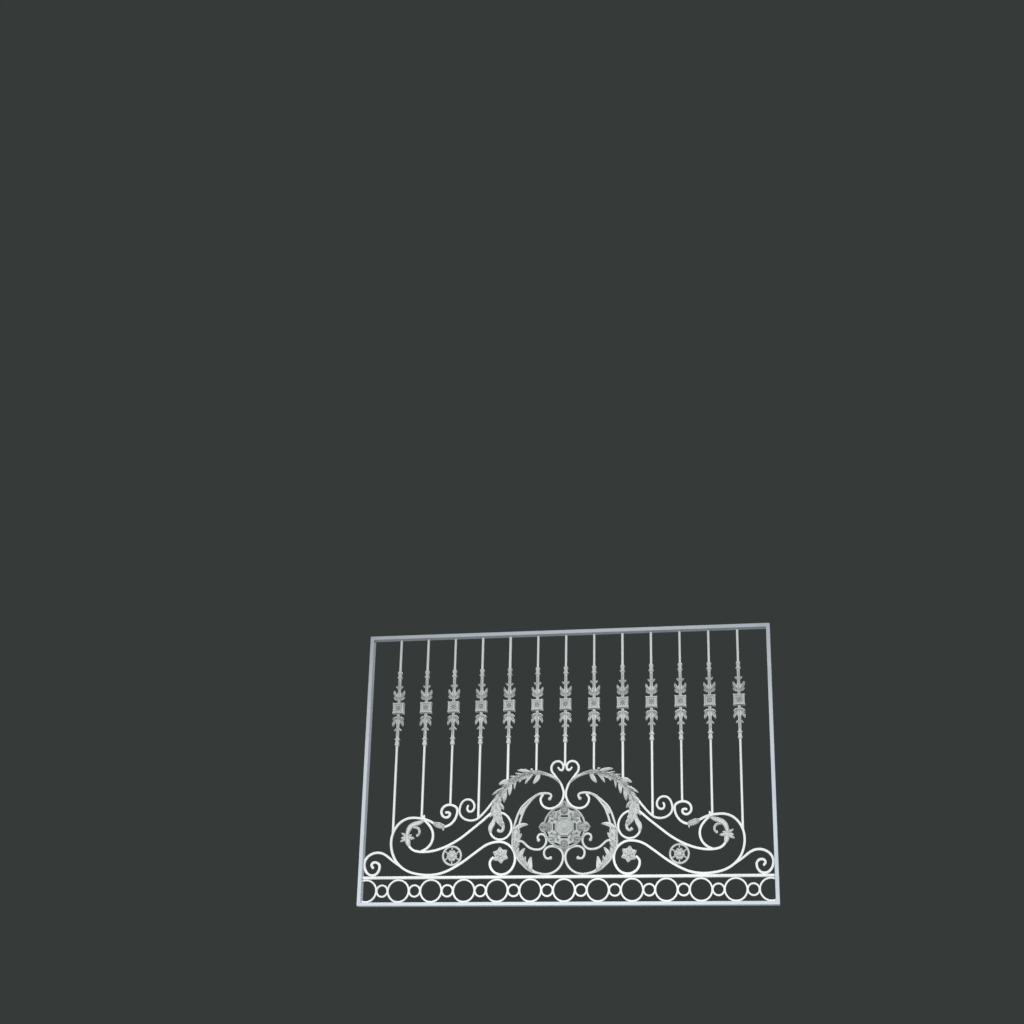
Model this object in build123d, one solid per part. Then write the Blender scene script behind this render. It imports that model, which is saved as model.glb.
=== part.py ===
"""Ornamental window grille: a welded steel frame, upright bars with castings, scrollwork and a band of rings.

X runs along the width, the front faces -Y and Z is up. The origin is in the middle of the sill rail's foot.
"""

from build123d import *
from math import atan2, cos, degrees, hypot, radians, sin, sqrt, tan
from typing import NamedTuple
import os

# Frame, in millimetres.
overall_width = 1894
overall_height = 1267
frame_depth = 40
stile_face = 17
head_face = 17
sill_face = 15
frame_wall = 2

# Band of rings between the sill rail and the ring rail.
ring_outer = 105
ring_wall = 7.5
small_ring_outer = 58
ring_overlap = 5.5
ring_depth = 10
ring_pairs = 12
rail_height = 13
rail_depth = 16

# Upright bars, with the heights on the drawing where they end, from the middle bar outward.
bar_count = 13
bar_side = 10
bar_feet = [94.23, 89.23, 80.77, 49.04, 61.15, 50.38, 36.54]

# Castings on the bars.
casting_height = 914
casting_length = 360
casting_clearance = 0.2
block_width = 54
block_height = 52
block_depth = 30
cap_width = 61
cap_depth = 36
cap_height = 7

# Their collars and leaves: reach and leaf width in half block widths, rise in half lengths.
palmette_foot = 0.18
palmette_leaves = [(1, 0.46, 0.63), (1.13, 0.3, 0.63), (0.63, 0.37, 0.59), (0.56, 0.47, 0.55)]
leaf_pair_foot = 0.52
leaf_pair_tip = (0.74, 0.6)
leaf_pair_width = 0.44
collar_profile = [
    (0.31, 0.111),
    (0.31, 0.767),
    (0.63, 0.800),
    (0.63, 0.828),
    (0.35, 0.850),
    (0.35, 0.878),
    (0.48, 0.950),
    (0.48, 0.978),
    (0.33, 1),
]

# Scroll bars.
scroll_width = 10
scroll_depth = 10
knob_radius = 8
tip_share = 0.4
cast_depth = 16

# Leaves with round tips.
leaf_tip = 3
leaf_belly = 0.45

# Flower rings, star flowers and buds, with their middles on the drawing.
flower_ring_middle = (44.56, 17.4)
flower_ring_outer = 92.5
flower_ring_wall = 9.5
flower_radius = 27
flower_spokes = 6
spoke_width = 7
flower_boss_radius = 12
flower_boss_rise = 5
star_middle = (68.67, 17.5)
star_radius = 25
star_points = 6
star_point_length = 37
star_point_width = 26
star_turn = 39
star_boss_radius = 9
star_boss_rise = 4
bud_middle = (21.64, 33.65)
bud_radius = 13
knot_radius = 6

# Rosette, with its middle above the ring rail on the drawing.
rosette_up = 41.35
rosette_radius = 97
rosette_leaf_foot = 60
rosette_leaf_length = 58
rosette_leaf_width = 50
slot_reach = 48
slot_length = 34
slot_width = 8
rim_slots = 8
rim_slot_reach = 84
rim_slot_length = 26
dome_radius = 38
dome_rise = 4
boss_radius = 15
boss_rise = 10

# The scrollwork is drawn in per cent of the left half's clear width and of this height above the ring rail.
scroll_height = 520

half_width = overall_width / 2
inner_half = half_width - stile_face
band_foot = sill_face
band_top = band_foot + ring_outer
scroll_foot = band_top + rail_height
head_foot = overall_height - head_face
half_bar = scroll_width / 2

# Half a bar's width, in per cent of the drawing's width and height.
by_side = 100 * half_bar / inner_half
on_foot = 100 * half_bar / scroll_height


class Station(NamedTuple):
    """A point of a bar: across from the stile and up from the ring rail in per cent, heading in degrees.

    The width is counted in widths of a plain bar.
    """

    across: float
    up: float
    heading: float
    width: float = 1


class Leaf(NamedTuple):
    """A leaf from its foot to its tip, in per cent of the drawing.

    The width at its belly and how far that bows to the left are counted in widths of a plain bar.
    """

    foot: tuple
    tip: tuple
    width: float
    bow: float = 0


class Sample(NamedTuple):
    """A point of a worked-out middle line, with its unit tangent and the bar's width there."""

    x: float
    z: float
    tx: float
    tz: float
    width: float


def place(across, up):
    """Carries a point of the drawing onto the left half of the panel."""
    return inner_half * (across / 100 - 1), scroll_foot + scroll_height * up / 100


def direction(heading):
    return cos(radians(heading)), sin(radians(heading))


def arc_middle(start, end):
    """The middle sample of the arc that leaves start along its tangent and reaches end."""
    cx, cz = end.x - start.x, end.z - start.z
    length = hypot(cx, cz)
    ux, uz = cx / length, cz / length
    turn = atan2(start.tx * uz - start.tz * ux, start.tx * ux + start.tz * uz)
    rise = length / 2 * tan(turn / 2)
    x, z = (start.x + end.x) / 2 + uz * rise, (start.z + end.z) / 2 - ux * rise
    return Sample(x, z, ux, uz, (start.width + end.width) / 2)


def biarc(start, end):
    """Middle, joint and middle of the two tangent arcs between two samples."""
    vx, vz = end.x - start.x, end.z - start.z
    along = vx * (start.tx + end.tx) + vz * (start.tz + end.tz)
    spread = 2 * (1 - (start.tx * end.tx + start.tz * end.tz))
    if spread < 1e-9:
        reach = (vx * vx + vz * vz) / (2 * along)
    else:
        reach = (sqrt(along * along + spread * (vx * vx + vz * vz)) - along) / spread
    ax, az = start.x + reach * start.tx, start.z + reach * start.tz
    bx, bz = end.x - reach * end.tx, end.z - reach * end.tz
    size = hypot(bx - ax, bz - az)
    width = (start.width + end.width) / 2
    joint = Sample((ax + bx) / 2, (az + bz) / 2, (bx - ax) / size, (bz - az) / size, width)
    return [arc_middle(start, joint), joint, arc_middle(joint, end)]


def middle_line(stations):
    """Samples along the smooth chain of arcs through the stations, two to each arc."""
    ends = [
        Sample(*place(s.across, s.up), *direction(s.heading), s.width * scroll_width)
        for s in stations
    ]
    samples = [ends[0]]
    for start, end in zip(ends, ends[1:]):
        samples += biarc(start, end) + [end]
    return samples


def side_arcs(samples, side):
    """The arcs of one edge of a bar, half its width beside the middle line."""
    points = [
        Vector(s.x - side * s.tz * s.width / 2, s.z + side * s.tx * s.width / 2)
        for s in samples
    ]
    return [ThreePointArc(*points[i : i + 3]) for i in range(0, len(points) - 2, 2)]


def ribbon(samples):
    """The flat outline of a bar along the samples."""
    left = side_arcs(samples, 1)
    right = side_arcs(samples, -1)
    ends = [Line(left[-1] @ 1, right[-1] @ 1), Line(right[0] @ 0, left[0] @ 0)]
    return make_face(left + right + ends)


def thick(outline, depth):
    """Stands a flat outline up in the panel and thickens it both ways."""
    return extrude(Plane.XZ * outline, depth / 2, both=True)


def disc(samples, index, radius):
    point = samples[index]
    return Pos(point.x, point.z) * Circle(radius)


def bent_bar(stations, knobs=()):
    """A flat bent bar through the stations, with knobs at the named ends."""
    samples = middle_line(stations)
    outline = Sketch() + ribbon(samples)
    for index in knobs:
        outline += disc(samples, index, knob_radius)
    return thick(outline + disc(samples, 0, samples[0].width / 2), scroll_depth)


def leaf(foot, tip, width, bow=0):
    """A leaf with a round tip: two arcs from its foot over its belly."""
    start, end = Vector(*foot), Vector(*tip)
    along = (end - start).normalized()
    across = Vector(-along.Y, along.X)
    belly = start + (end - start) * leaf_belly + across * bow
    shoulder = end - along * leaf_tip
    left, right = shoulder + across * leaf_tip, shoulder - across * leaf_tip
    upper = ThreePointArc(start, belly + across * width / 2, left)
    lower = ThreePointArc(right, belly - across * width / 2, start)
    return make_face([upper, ThreePointArc(left, end, right), lower])


def leaves(drawn_leaves):
    """The flat outline of leaves of the drawing."""
    outline = Sketch()
    for drawn in drawn_leaves:
        width, bow = drawn.width * scroll_width, drawn.bow * scroll_width
        outline += leaf(place(*drawn.foot), place(*drawn.tip), width, bow)
    return outline


def round_leaf(turn, length, width):
    """A leaf that points away from the middle of a flower."""
    heading_x, heading_z = direction(turn)
    return leaf((0, 0), (length * heading_x, length * heading_z), width)


def largest(shape):
    """The biggest solid of a shape, so that a cut leaves no chips."""
    return max(shape.solids(), key=lambda solid: solid.volume)


def cope(piece, neighbours):
    """Cuts a piece to sit against its neighbours."""
    for neighbour in neighbours:
        piece = piece - neighbour
    return largest(piece)


def left_side(piece):
    """Keeps what lies left of the middle line."""
    keep = Pos(-half_width / 2, 0, overall_height / 2) * Box(half_width, 4 * frame_depth, overall_height)
    return largest(piece & keep)


# Frame.


def mitred_tube(corners, bore):
    """A tube whose ends are cut to the corners' slants, less its bore."""
    outline = make_face(Polyline(*corners, close=True))
    return thick(outline, frame_depth) - bore


def make_stile():
    """The left stile, mitred to both rails."""
    corners = [
        (-half_width, 0),
        (-inner_half, sill_face),
        (-inner_half, head_foot),
        (-half_width, overall_height),
    ]
    bore = Box(stile_face - 2 * frame_wall, frame_depth - 2 * frame_wall, overall_height)
    return mitred_tube(corners, Pos(-half_width + stile_face / 2, 0, overall_height / 2) * bore)


def make_rail(outer, inner):
    """A rail between the height of its outer face and that of its inner face."""
    corners = [(-half_width, outer), (half_width, outer), (inner_half, inner), (-inner_half, inner)]
    bore = Box(overall_width, frame_depth - 2 * frame_wall, abs(inner - outer) - 2 * frame_wall)
    return mitred_tube(corners, Pos(0, 0, (outer + inner) / 2) * bore)


def make_ring_rail():
    rail = Box(2 * inner_half, rail_depth, rail_height)
    return Pos(0, 0, band_top + rail_height / 2) * rail


def ring_outline(radius, wall):
    return Circle(radius) - Circle(radius - wall)


def make_ring_band():
    """Large and small rings in a chain, cut off where they meet the stiles."""
    step = (ring_outer + small_ring_outer) / 2 - ring_overlap
    discs = Sketch()
    holes = Sketch()
    for index in range(-ring_pairs, ring_pairs + 1):
        large = index % 2 == 0
        radius = (ring_outer if large else small_ring_outer) / 2
        discs += Pos(index * step, 0) * Circle(radius)
        holes += Pos(index * step, 0) * Circle(radius - ring_wall)
    chain = (discs - holes) & Rectangle(2 * inner_half, ring_outer)
    return Pos(0, 0, band_foot + ring_outer / 2) * thick(chain, ring_depth)


# Scrolls of the left half. Headings: 0 is right, 90 is up.

# Where the small spiral and the side spiral touch.
spiral_contact = 47.08

corner_line = [
    Station(4.93, 7.5, 115),
    Station(4.23, 9.81, 90),
    Station(5.89, 12.31, 0),
    Station(8.36, 8.08, 270),
    Station(4.93, on_foot, 180),
    Station(by_side, 10.38, 90),
    Station(7.07, 20.67, 0),
    Station(12.64, 16.54, 320),
    Station(20.35, 6.54, 330, tip_share),
]

main_line = [
    Station(40.92, 55.19, 20),
    Station(42.85, 53.75, 270),
    Station(41.03, 50.87, 180),
    Station(38.51, 55.77, 90),
    Station(42.31, 62.02, 0),
    Station(spiral_contact - by_side, 56.65, 270),
    Station(39.42, 42.69, 180),
    Station(34.07, 46.73, 150),
    Station(24.1, 50.96, 180),
    Station(13.6, 29.81, 270),
    Station(18.21, 9.62, 317),
    Station(33.21, on_foot, 0),
    Station(52.49, 15.1, 37),
    Station(67.81, 29.12, 0),
    Station(75.95, 14.62, 270),
    Station(69.31, on_foot, 180),
    Station(63.52, 10.77, 90),
    Station(65.35, 15.77, 35),
]

main_knob = Leaf((29.14, 48.85), (29.99, 53.27), 1.2)

inner_line = [
    Station(63.42, 53.85, 218),
    Station(57.85, 45.38, 218),
    Station(44.99, 28.56, 209),
    Station(29.99, 20.96, 180),
    Station(23.14, 25.38, 128),
    Station(22.28, 28.08, 112),
]

loop_line = [
    Station(29.99, 48.65, 322),
    Station(34.71, 34.62, 270),
    Station(28.92, 21.54, 195),
]

side_line = [
    Station(51.85, 60.77, 240),
    Station(51.47, 58.46, 270),
    Station(52.92, 55.67, 0),
    Station(55.06, 60.19, 90),
    Station(51.63, 66.54, 180),
    Station(spiral_contact + by_side, 56.65, 270),
    Station(53.56, 47.88, 0),
    Station(57.63, 50.58, 42),
    Station(64.49, 65, 56),
]

garland_line = [
    Station(98.34, 78.85, 137),
    Station(94.27, 84.81, 150, 1.2),
    Station(88.91, 88.65, 165, 1.5),
    Station(84.09, 89.23, 188, 2),
    Station(79.27, 87.12, 202, 2),
    Station(73.92, 82.69, 210, 2.2),
    Station(70.06, 76.15, 236, 2.4),
    Station(67.49, 68.85, 244, 2.6),
    Station(65.88, 62.5, 258, 4.2),
    Station(66.2, 55.77, 275, 4.4),
    Station(67.06, 49.23, 292, 3.6),
    Station(68.77, 45, 308, 2.4),
    Station(69.74, 41.35, 270, 1.3),
    Station(68.34, 37.98, 180, 1.2),
    Station(67.38, 38.85, 140, 1.2),
]

strand_line = [
    Station(65.77, 53.85, 270, 1.8),
    Station(65.02, 47.31, 248, 1.7),
    Station(63.95, 43.46, 232, 2.4),
    Station(63.31, 39.62, 268, 1.8),
    Station(63.63, 36.54, 292, 1.2),
]

garland_leaves = [
    Leaf((83.56, 88.65), (76.16, 91.54), 1.8, -0.4),
    Leaf((80.13, 86.15), (74.99, 89.04), 1.2, -0.1),
    Leaf((77.34, 84.62), (72.52, 86.15), 1.3, -0.1),
    Leaf((72.42, 82.31), (67.06, 79.04), 2.2, -0.4),
    Leaf((69.42, 75.77), (63.85, 70), 1.4, -0.2),
    Leaf((87.2, 88.08), (84.2, 79.42), 2.2, 0.3),
    Leaf((83.99, 88.46), (80.24, 79.23), 1.5, -0.3),
    Leaf((78.41, 86.54), (77.24, 80.58), 1.5),
    Leaf((75.63, 84.62), (74.99, 74.62), 1.2, -0.2),
    Leaf((72.84, 81.73), (72.52, 69.42), 2.1),
    Leaf((69.63, 76.92), (69.74, 63.08), 2.6, 0.3),
    Leaf((68.13, 67.31), (68.56, 66.15), 1.2),
    Leaf((66.85, 63.46), (69.84, 56.73), 1.5, 0.3),
    Leaf((66.63, 54.81), (68.88, 50.77), 1.3, 0.2),
    Leaf((64.49, 54.81), (62.77, 50.38), 1.2),
]

garland_knob = (83.34, 91.92)

bract_line = [
    Station(40.71, 43.08, 186),
    Station(38.99, 43.27, 172, 2.4),
    Station(36.64, 44.62, 164, 2.6),
    Station(34.49, 46.15, 156, 1.3),
]

bract_spur = Leaf((39.74, 42.31), (39.74, 39.04), 0.9)

bud_leaf_line = [
    Station(30.42, 49.04, 200),
    Station(26.78, 46.15, 196, 2.2),
    Station(22.92, 42.69, 232, 2.2),
    Station(21.6, 34.4, 268, 1.8),
]

tendril_line = [Station(24, 42.69, 12, 1.4), Station(27.75, 38.46, 270), Station(26.67, 35.38, 200)]

calyx_line = [Station(21.85, 33.85, 268, 1.6), Station(22.07, 30, 276, 2.6), Station(23.03, 25.77, 306)]

bud_petals = [
    Leaf((21.64, 34.62), (18.53, 37.69), 1.3),
    Leaf((21.64, 33.65), (18.43, 33.08), 1.6),
    Leaf((21.85, 33.08), (18.1, 30), 1.4),
    Leaf((21.85, 33.46), (25.5, 32.88), 1.5),
    Leaf((21.85, 34.23), (24, 35.96), 1.3),
]

hook_line = [
    Station(68.02, 54.62, 350),
    Station(73.84, 41.54, 270),
    Station(68.24, 31, 180),
    Station(63.2, 39.42, 90),
    Station(64.49, 45.77, 65),
]

crescent_line = [
    Station(92.55, 65.96, 60),
    Station(93.3, 68.27, 90),
    Station(90.2, 70.96, 180),
    Station(86.02, 69.23, 208, 1.3),
    Station(83.56, 65.96, 219, 1.5),
    Station(81.41, 62.12, 226, 2),
    Station(79.59, 58.27, 234, 2.5),
    Station(78.09, 52.69, 247, 2.9),
    Station(77.02, 46.92, 253, 2.9),
    Station(76.16, 40.38, 260, 3.2),
    Station(76.16, 32.69, 270, 4.4),
    Station(75.84, 26.15, 273, 3.4),
    Station(76.49, 20.77, 292, 2.4),
    Station(78.09, 15.77, 304, 3.2),
    Station(79.81, 11.54, 312, 3),
    Station(82.81, 5.77, 322, 2),
    Station(85.91, 2.69, 344),
    Station(90.84, on_foot, 0),
    Station(100 - by_side, 15.77, 90),
    Station(93.95, 24.81, 180),
    Station(90.09, 19.23, 270),
    Station(92.13, 14.23, 0),
    Station(93.3, 14.81, 15),
]

curl_line = [
    Station(76.7, 28.46, 24),
    Station(79.06, 29.23, 335),
    Station(82.49, 24.23, 325),
    Station(86.88, 22.02, 0),
    Station(91.16, 29.81, 90),
    Station(88.59, 35.38, 180),
    Station(86.88, 32.12, 270),
    Station(87.31, 30.19, 300),
]

crescent_leaves = [
    Leaf((75.2, 39.04), (82.06, 43.65), 2.1, 0.9),
    Leaf((76.91, 32.69), (77.88, 39.62), 1.3),
    Leaf((76.59, 30.77), (78.95, 36.35), 1.6, -0.2),
    Leaf((75.2, 21.15), (78.09, 26.35), 1.3, 0.4),
    Leaf((77.66, 13.46), (80.77, 23.46), 2.1, 0.4),
    Leaf((79.27, 8.65), (81.09, 16.54), 1.5, -0.2),
    Leaf((83.56, 3.46), (83.88, 15.96), 2.5, 0.5),
]

crescent_slits = [Leaf((75.95, 41.54), (77.45, 51.54), 0.7), Leaf((75.63, 35.38), (77.02, 38.46), 0.7)]

heart_line = [
    Station(96.63, 93.27, 300, 0.8),
    Station(98.23, 90.96, 0),
    Station(99.2, 93.85, 90),
    Station(96.41, 98.94, 180),
    Station(93.2, 92.69, 270),
    Station(95.55, 85, 305),
    Station(98.55, 76.92, 290),
    Station(100 - by_side, 70.19, 270),
    Station(92.66, 57.4, 180),
    Station(88.06, 65.38, 90),
    Station(89.45, 69.81, 45),
]


def boss(radius, depth, rise):
    """A round boss that stands out of both faces of a plate by its rise."""
    return Rot(90, 0, 0) * Cylinder(radius, depth + 2 * rise)


def make_flower_ring():
    """A ring with a cast flower held on spokes."""
    outline = ring_outline(flower_ring_outer / 2, flower_ring_wall) + Circle(flower_radius)
    inside = flower_ring_outer / 2 - flower_ring_wall / 2
    for index in range(flower_spokes):
        turn = Rot(0, 0, 360 * (index + 0.5) / flower_spokes)
        spoke = Rectangle(inside - flower_radius + flower_ring_wall / 2, spoke_width)
        outline += turn * Pos((inside + flower_radius) / 2, 0) * spoke
    x, z = place(*flower_ring_middle)
    return Pos(x, 0, z) * (
        thick(outline, scroll_depth) + boss(flower_boss_radius, scroll_depth, flower_boss_rise)
    )


def make_star_flower():
    """A cast flower whose points end the hook of the main scroll."""
    outline = Sketch() + Circle(star_radius)
    for index in range(star_points):
        turn = star_turn + 360 * index / star_points
        outline += round_leaf(turn, star_point_length, star_point_width)
    x, z = place(*star_middle)
    return Pos(x, 0, z) * (thick(outline, cast_depth) + boss(star_boss_radius, cast_depth, star_boss_rise))


def make_garland():
    """A cast spray of leaves on a stem that swells into a sheaf and ends in a curl and a strand."""
    samples = middle_line(garland_line)
    outline = Sketch() + ribbon(samples) + disc(samples, -1, knob_radius)
    outline += ribbon(middle_line(strand_line)) + leaves(garland_leaves)
    outline += Pos(*place(*garland_knob)) * Circle(knot_radius)
    return thick(outline, cast_depth)


def make_bract():
    """The leaf sleeve on the neck of the main scroll, with its spur."""
    outline = Sketch() + ribbon(middle_line(bract_line)) + leaves([bract_spur])
    return thick(outline, cast_depth)


def make_bud():
    """A petalled bud on its calyx, with the leaf and the curled tendril above it."""
    tendril = middle_line(tendril_line)
    outline = Pos(*place(*bud_middle)) * Circle(bud_radius) + leaves(bud_petals)
    outline += ribbon(middle_line(bud_leaf_line)) + ribbon(middle_line(calyx_line))
    outline += ribbon(tendril) + disc(tendril, -1, knot_radius)
    return thick(outline, cast_depth)


def make_rosette():
    """A pierced medallion with a domed middle and four pointed leaves."""
    outline = Sketch() + Circle(rosette_radius)
    for index in range(4):
        tip = rosette_leaf_foot + rosette_leaf_length
        pointed = leaf((rosette_leaf_foot, 0), (tip, 0), rosette_leaf_width)
        outline += Rot(0, 0, 90 * index) * pointed
    for index in range(4):
        slot = SlotOverall(slot_length, slot_width, rotation=90)
        outline -= Rot(0, 0, 90 * index) * Pos(slot_reach, 0) * slot
    for index in range(rim_slots):
        turn = Rot(0, 0, 360 * (index + 0.5) / rim_slots)
        outline -= turn * Pos(rim_slot_reach, 0) * SlotOverall(rim_slot_length, slot_width, rotation=90)
    dome = boss(dome_radius, scroll_depth, dome_rise) + boss(boss_radius, scroll_depth, boss_rise)
    x, z = place(100, rosette_up)
    return Pos(x, 0, z) * (thick(outline, scroll_depth) + dome)


# Castings on the bars.


def on_casting(reach, rise):
    """A point of the casting's outline beside and above its middle."""
    return reach * block_width / 2, rise * casting_length / 2


def square_turned(profile):
    """A square-plan column whose four sides all follow the profile of (reach, rise)."""
    corners = [on_casting(reach, rise) for reach, rise in profile]
    corners += [on_casting(-reach, rise) for reach, rise in reversed(profile)]
    outline = make_face(Polyline(*corners, close=True))
    slab = thick(outline, 4 * block_width)
    return slab & (Rot(0, 0, 90) * slab)


def make_palmette():
    """Leaves that open upward from the block, with a small pair above them."""
    outline = Sketch()
    for side in (1, -1):
        drawn = [(palmette_foot, *palmette) for palmette in palmette_leaves]
        for foot, reach, rise, width in drawn + [(leaf_pair_foot, *leaf_pair_tip, leaf_pair_width)]:
            tip = on_casting(side * reach, rise)
            outline += leaf(on_casting(0, foot), tip, width * block_width / 2)
    return thick(outline, cast_depth)


def make_casting():
    """Square block between two palmettes and two collars, bored for the bar."""
    cap = Pos(0, 0, (block_height - cap_height) / 2) * Box(cap_width, cap_depth, cap_height)
    half = cap + square_turned(collar_profile) + make_palmette()
    bore_side = bar_side + 2 * casting_clearance
    body = Box(block_width, block_depth, block_height) + half + Rot(180, 0, 0) * half
    return body - Box(bore_side, bore_side, overall_height)


def bar_position(index):
    """Middles of the bars, which part the clear width into equal bays."""
    return (index - (bar_count - 1) / 2) * 2 * inner_half / (bar_count + 1)


def make_bar(index, neighbours):
    """A square bar from the head rail down to the scroll it stands on."""
    foot = place(0, bar_feet[(bar_count - 1) // 2 - index])[1]
    height = head_foot - foot
    bar = Pos(bar_position(index), 0, foot + height / 2) * Box(bar_side, bar_side, height)
    return cope(bar, neighbours)


def mirrored(piece):
    return mirror(piece, about=Plane.YZ)


def build_left(stile):
    """Every scroll and casting of the left half, each cut to its neighbours."""
    main = bent_bar(main_line) + thick(leaves([main_knob]), scroll_depth)
    inner = cope(bent_bar(inner_line) + bent_bar(loop_line), [main])
    spiral = cope(bent_bar(side_line), [main, inner])
    heart = left_side(bent_bar(heart_line))
    crescent = bent_bar(crescent_line, knobs=(0, -1)) + bent_bar(curl_line, knobs=(-1,))
    crescent += thick(leaves(crescent_leaves), scroll_depth)
    crescent -= thick(leaves(crescent_slits), scroll_depth)
    crescent = cope(left_side(crescent), [main, heart])
    hook = cope(bent_bar(hook_line), [main, crescent])
    return {
        "main_scroll": main,
        "corner_scroll": cope(bent_bar(corner_line), [main, stile]),
        "inner_scroll": inner,
        "side_spiral": spiral,
        "heart_scroll": heart,
        "crescent": crescent,
        "hook_scroll": hook,
        "flower_ring": cope(make_flower_ring(), [main, inner]),
        "star_flower": cope(make_star_flower(), [main]),
        "garland": cope(make_garland(), [inner, spiral, heart, hook, crescent]),
        "bract": cope(make_bract(), [main, inner]),
        "bud": cope(make_bud(), [main, inner]),
    }


def build():
    """All pieces of the grille by name."""
    stile = make_stile()
    pieces = {
        "sill_rail": make_rail(0, sill_face),
        "head_rail": make_rail(overall_height, head_foot),
        "left_stile": stile,
        "right_stile": mirrored(stile),
        "ring_rail": make_ring_rail(),
        "ring_band": make_ring_band(),
    }
    left = build_left(stile)
    right = {name: mirrored(piece) for name, piece in left.items()}
    for name in left:
        pieces["left_" + name] = left[name]
        pieces["right_" + name] = right[name]
    around_rosette = [half[name] for half in (left, right) for name in ("heart_scroll", "crescent")]
    pieces["rosette"] = cope(make_rosette(), around_rosette)
    middle_bar = (bar_count - 1) // 2
    below = list(left.values()) + [right["heart_scroll"]]
    for index in range(middle_bar + 1):
        bar = make_bar(index, below)
        pieces[f"bar_{index + 1:02d}"] = bar
        if index < middle_bar:
            pieces[f"bar_{bar_count - index:02d}"] = mirrored(bar)
    casting = make_casting()
    spots = [Pos(bar_position(index), 0, casting_height) for index in range(bar_count)]
    pieces["bar_castings"] = Compound([spot * casting for spot in spots])
    return pieces


os.makedirs("parts", exist_ok=True)
for name, piece in build().items():
    export_step(piece, f"parts/{name}.step")
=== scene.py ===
"""Looks of a white painted window grille: forged bars, cast leaves, rosette and turned castings."""

import logging
import math
from dataclasses import dataclass, field, replace
from enum import Enum
from typing import Callable, NamedTuple

import bmesh
import bpy
from bmesh.types import BMesh
from bpy.types import NodeSocket
from mathutils import Matrix, Vector
from mathutils.geometry import interpolate_bezier

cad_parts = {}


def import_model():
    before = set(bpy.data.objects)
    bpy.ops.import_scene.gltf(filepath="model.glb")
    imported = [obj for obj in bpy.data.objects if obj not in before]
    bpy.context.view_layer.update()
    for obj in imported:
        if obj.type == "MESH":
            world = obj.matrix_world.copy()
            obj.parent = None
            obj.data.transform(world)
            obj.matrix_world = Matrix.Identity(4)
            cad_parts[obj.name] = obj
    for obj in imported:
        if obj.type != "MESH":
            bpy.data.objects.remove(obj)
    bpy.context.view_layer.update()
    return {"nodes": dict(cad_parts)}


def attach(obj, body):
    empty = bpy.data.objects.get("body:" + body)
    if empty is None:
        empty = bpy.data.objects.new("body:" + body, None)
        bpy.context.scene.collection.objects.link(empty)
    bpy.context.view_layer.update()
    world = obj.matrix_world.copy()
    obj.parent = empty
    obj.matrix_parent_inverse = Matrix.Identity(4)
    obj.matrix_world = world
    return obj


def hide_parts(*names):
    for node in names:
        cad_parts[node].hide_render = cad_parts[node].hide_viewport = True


LOG = logging.getLogger("window_grille")
BODY = "root"
SIDES = ("left", "right")
# Shares of a leaf: where it is widest, its width at the foot, and what its width loses by the tip.
LEAF_BELLY = 0.42
LEAF_FOOT = 0.66
PLAIN_LEAF_POINT = 0.62
DRAWN_LEAF_POINT = 0.8
FEATHER_POINT = 0.85
# How late a leaf narrows towards its tip: 1 for evenly, more for later.
LEAF_FALL = 1.7
# A ridge: how far it keeps inside its line's edge in half widths of its own, and the shares of its
# width that it has at its ends and gains on its way to the middle.
REED_INSET = 0.9
REED_END = 0.35
REED_GAIN = 2.6
# How close vertices are when they are merged, in metres.
MERGE = 1e-6


class Slot(Enum):
    """The record's material slot for cast pieces."""

    CASTINGS = "cast_white_paint"


class Station(NamedTuple):
    """A point of a line: across and up in per cent of the drawing, heading in degrees, width in bars."""

    across: float
    up: float
    heading: float
    width: float = 1


class Leaf(NamedTuple):
    """A leaf from foot to tip in per cent of the drawing, its width and bow in bars, and its ribs."""

    foot: tuple
    tip: tuple
    width: float
    bow: float = 0
    ribs: float = 1


class Sample(NamedTuple):
    """A point of a worked-out line with its unit tangent, half width and distance from the start."""

    point: Vector
    along: Vector
    half: float
    run: float


class Knob(NamedTuple):
    """A knob's radius in the panel's plane and how far it stands out of it, in metres."""

    radius: float
    depth: float


class RayLeaf(NamedTuple):
    """A leaf that is drawn from a middle, in metres and degrees.

    Attributes:
        foot: Distance of its foot from the middle.
        foot_lean: How far the foot lies aside.
        tip: Distance of its tip.
        tip_lean: How far the tip lies aside.
        width: Its width.
        bow: How far it bends aside.
    """

    foot: float
    foot_lean: float
    tip: float
    tip_lean: float
    width: float
    bow: float = 0


class CastLobe(NamedTuple):
    """A leaf of a bar casting, across in half blocks and up in half lengths from its middle.

    Attributes:
        foot: Where it starts, across and up.
        tip: Where it ends.
        width: Its width in half blocks.
        bow: How far it bends aside, in half blocks.
    """

    foot: tuple
    tip: tuple
    width: float
    bow: float = 0


class FeatherRow(NamedTuple):
    """A row of leaves that overlap along a line.

    Attributes:
        spots: Samples of the line at which the leaves start.
        reach: Samples from foot to tip, below 0 for leaves that point back.
        foot: Where the feet lie across the width, from -1 on the right to 1 on the left.
        tip: Where the tips lie.
        width: Width of a leaf in half widths of the line.
    """

    spots: range
    reach: int
    foot: float
    tip: float
    width: float


@dataclass(frozen=True)
class Panel:
    """Measures of the panel in metres; the scrollwork is drawn on its left half."""

    inner_half: float = 0.93
    scroll_foot: float = 0.133
    scroll_height: float = 0.52
    bar_width: float = 0.010
    bar_count: int = 13
    casting_height: float = 0.914

    def place(self, across: float, up: float) -> Vector:
        """Carries a point of the drawing onto the left half."""
        rise = self.scroll_foot + self.scroll_height * up / 100
        return Vector((self.inner_half * (across / 100 - 1), 0, rise))

    def bar_positions(self) -> list[float]:
        """Middles of the upright bars."""
        pitch = 2 * self.inner_half / (self.bar_count + 1)
        return [(index - (self.bar_count - 1) / 2) * pitch for index in range(self.bar_count)]


PANEL = Panel()


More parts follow.
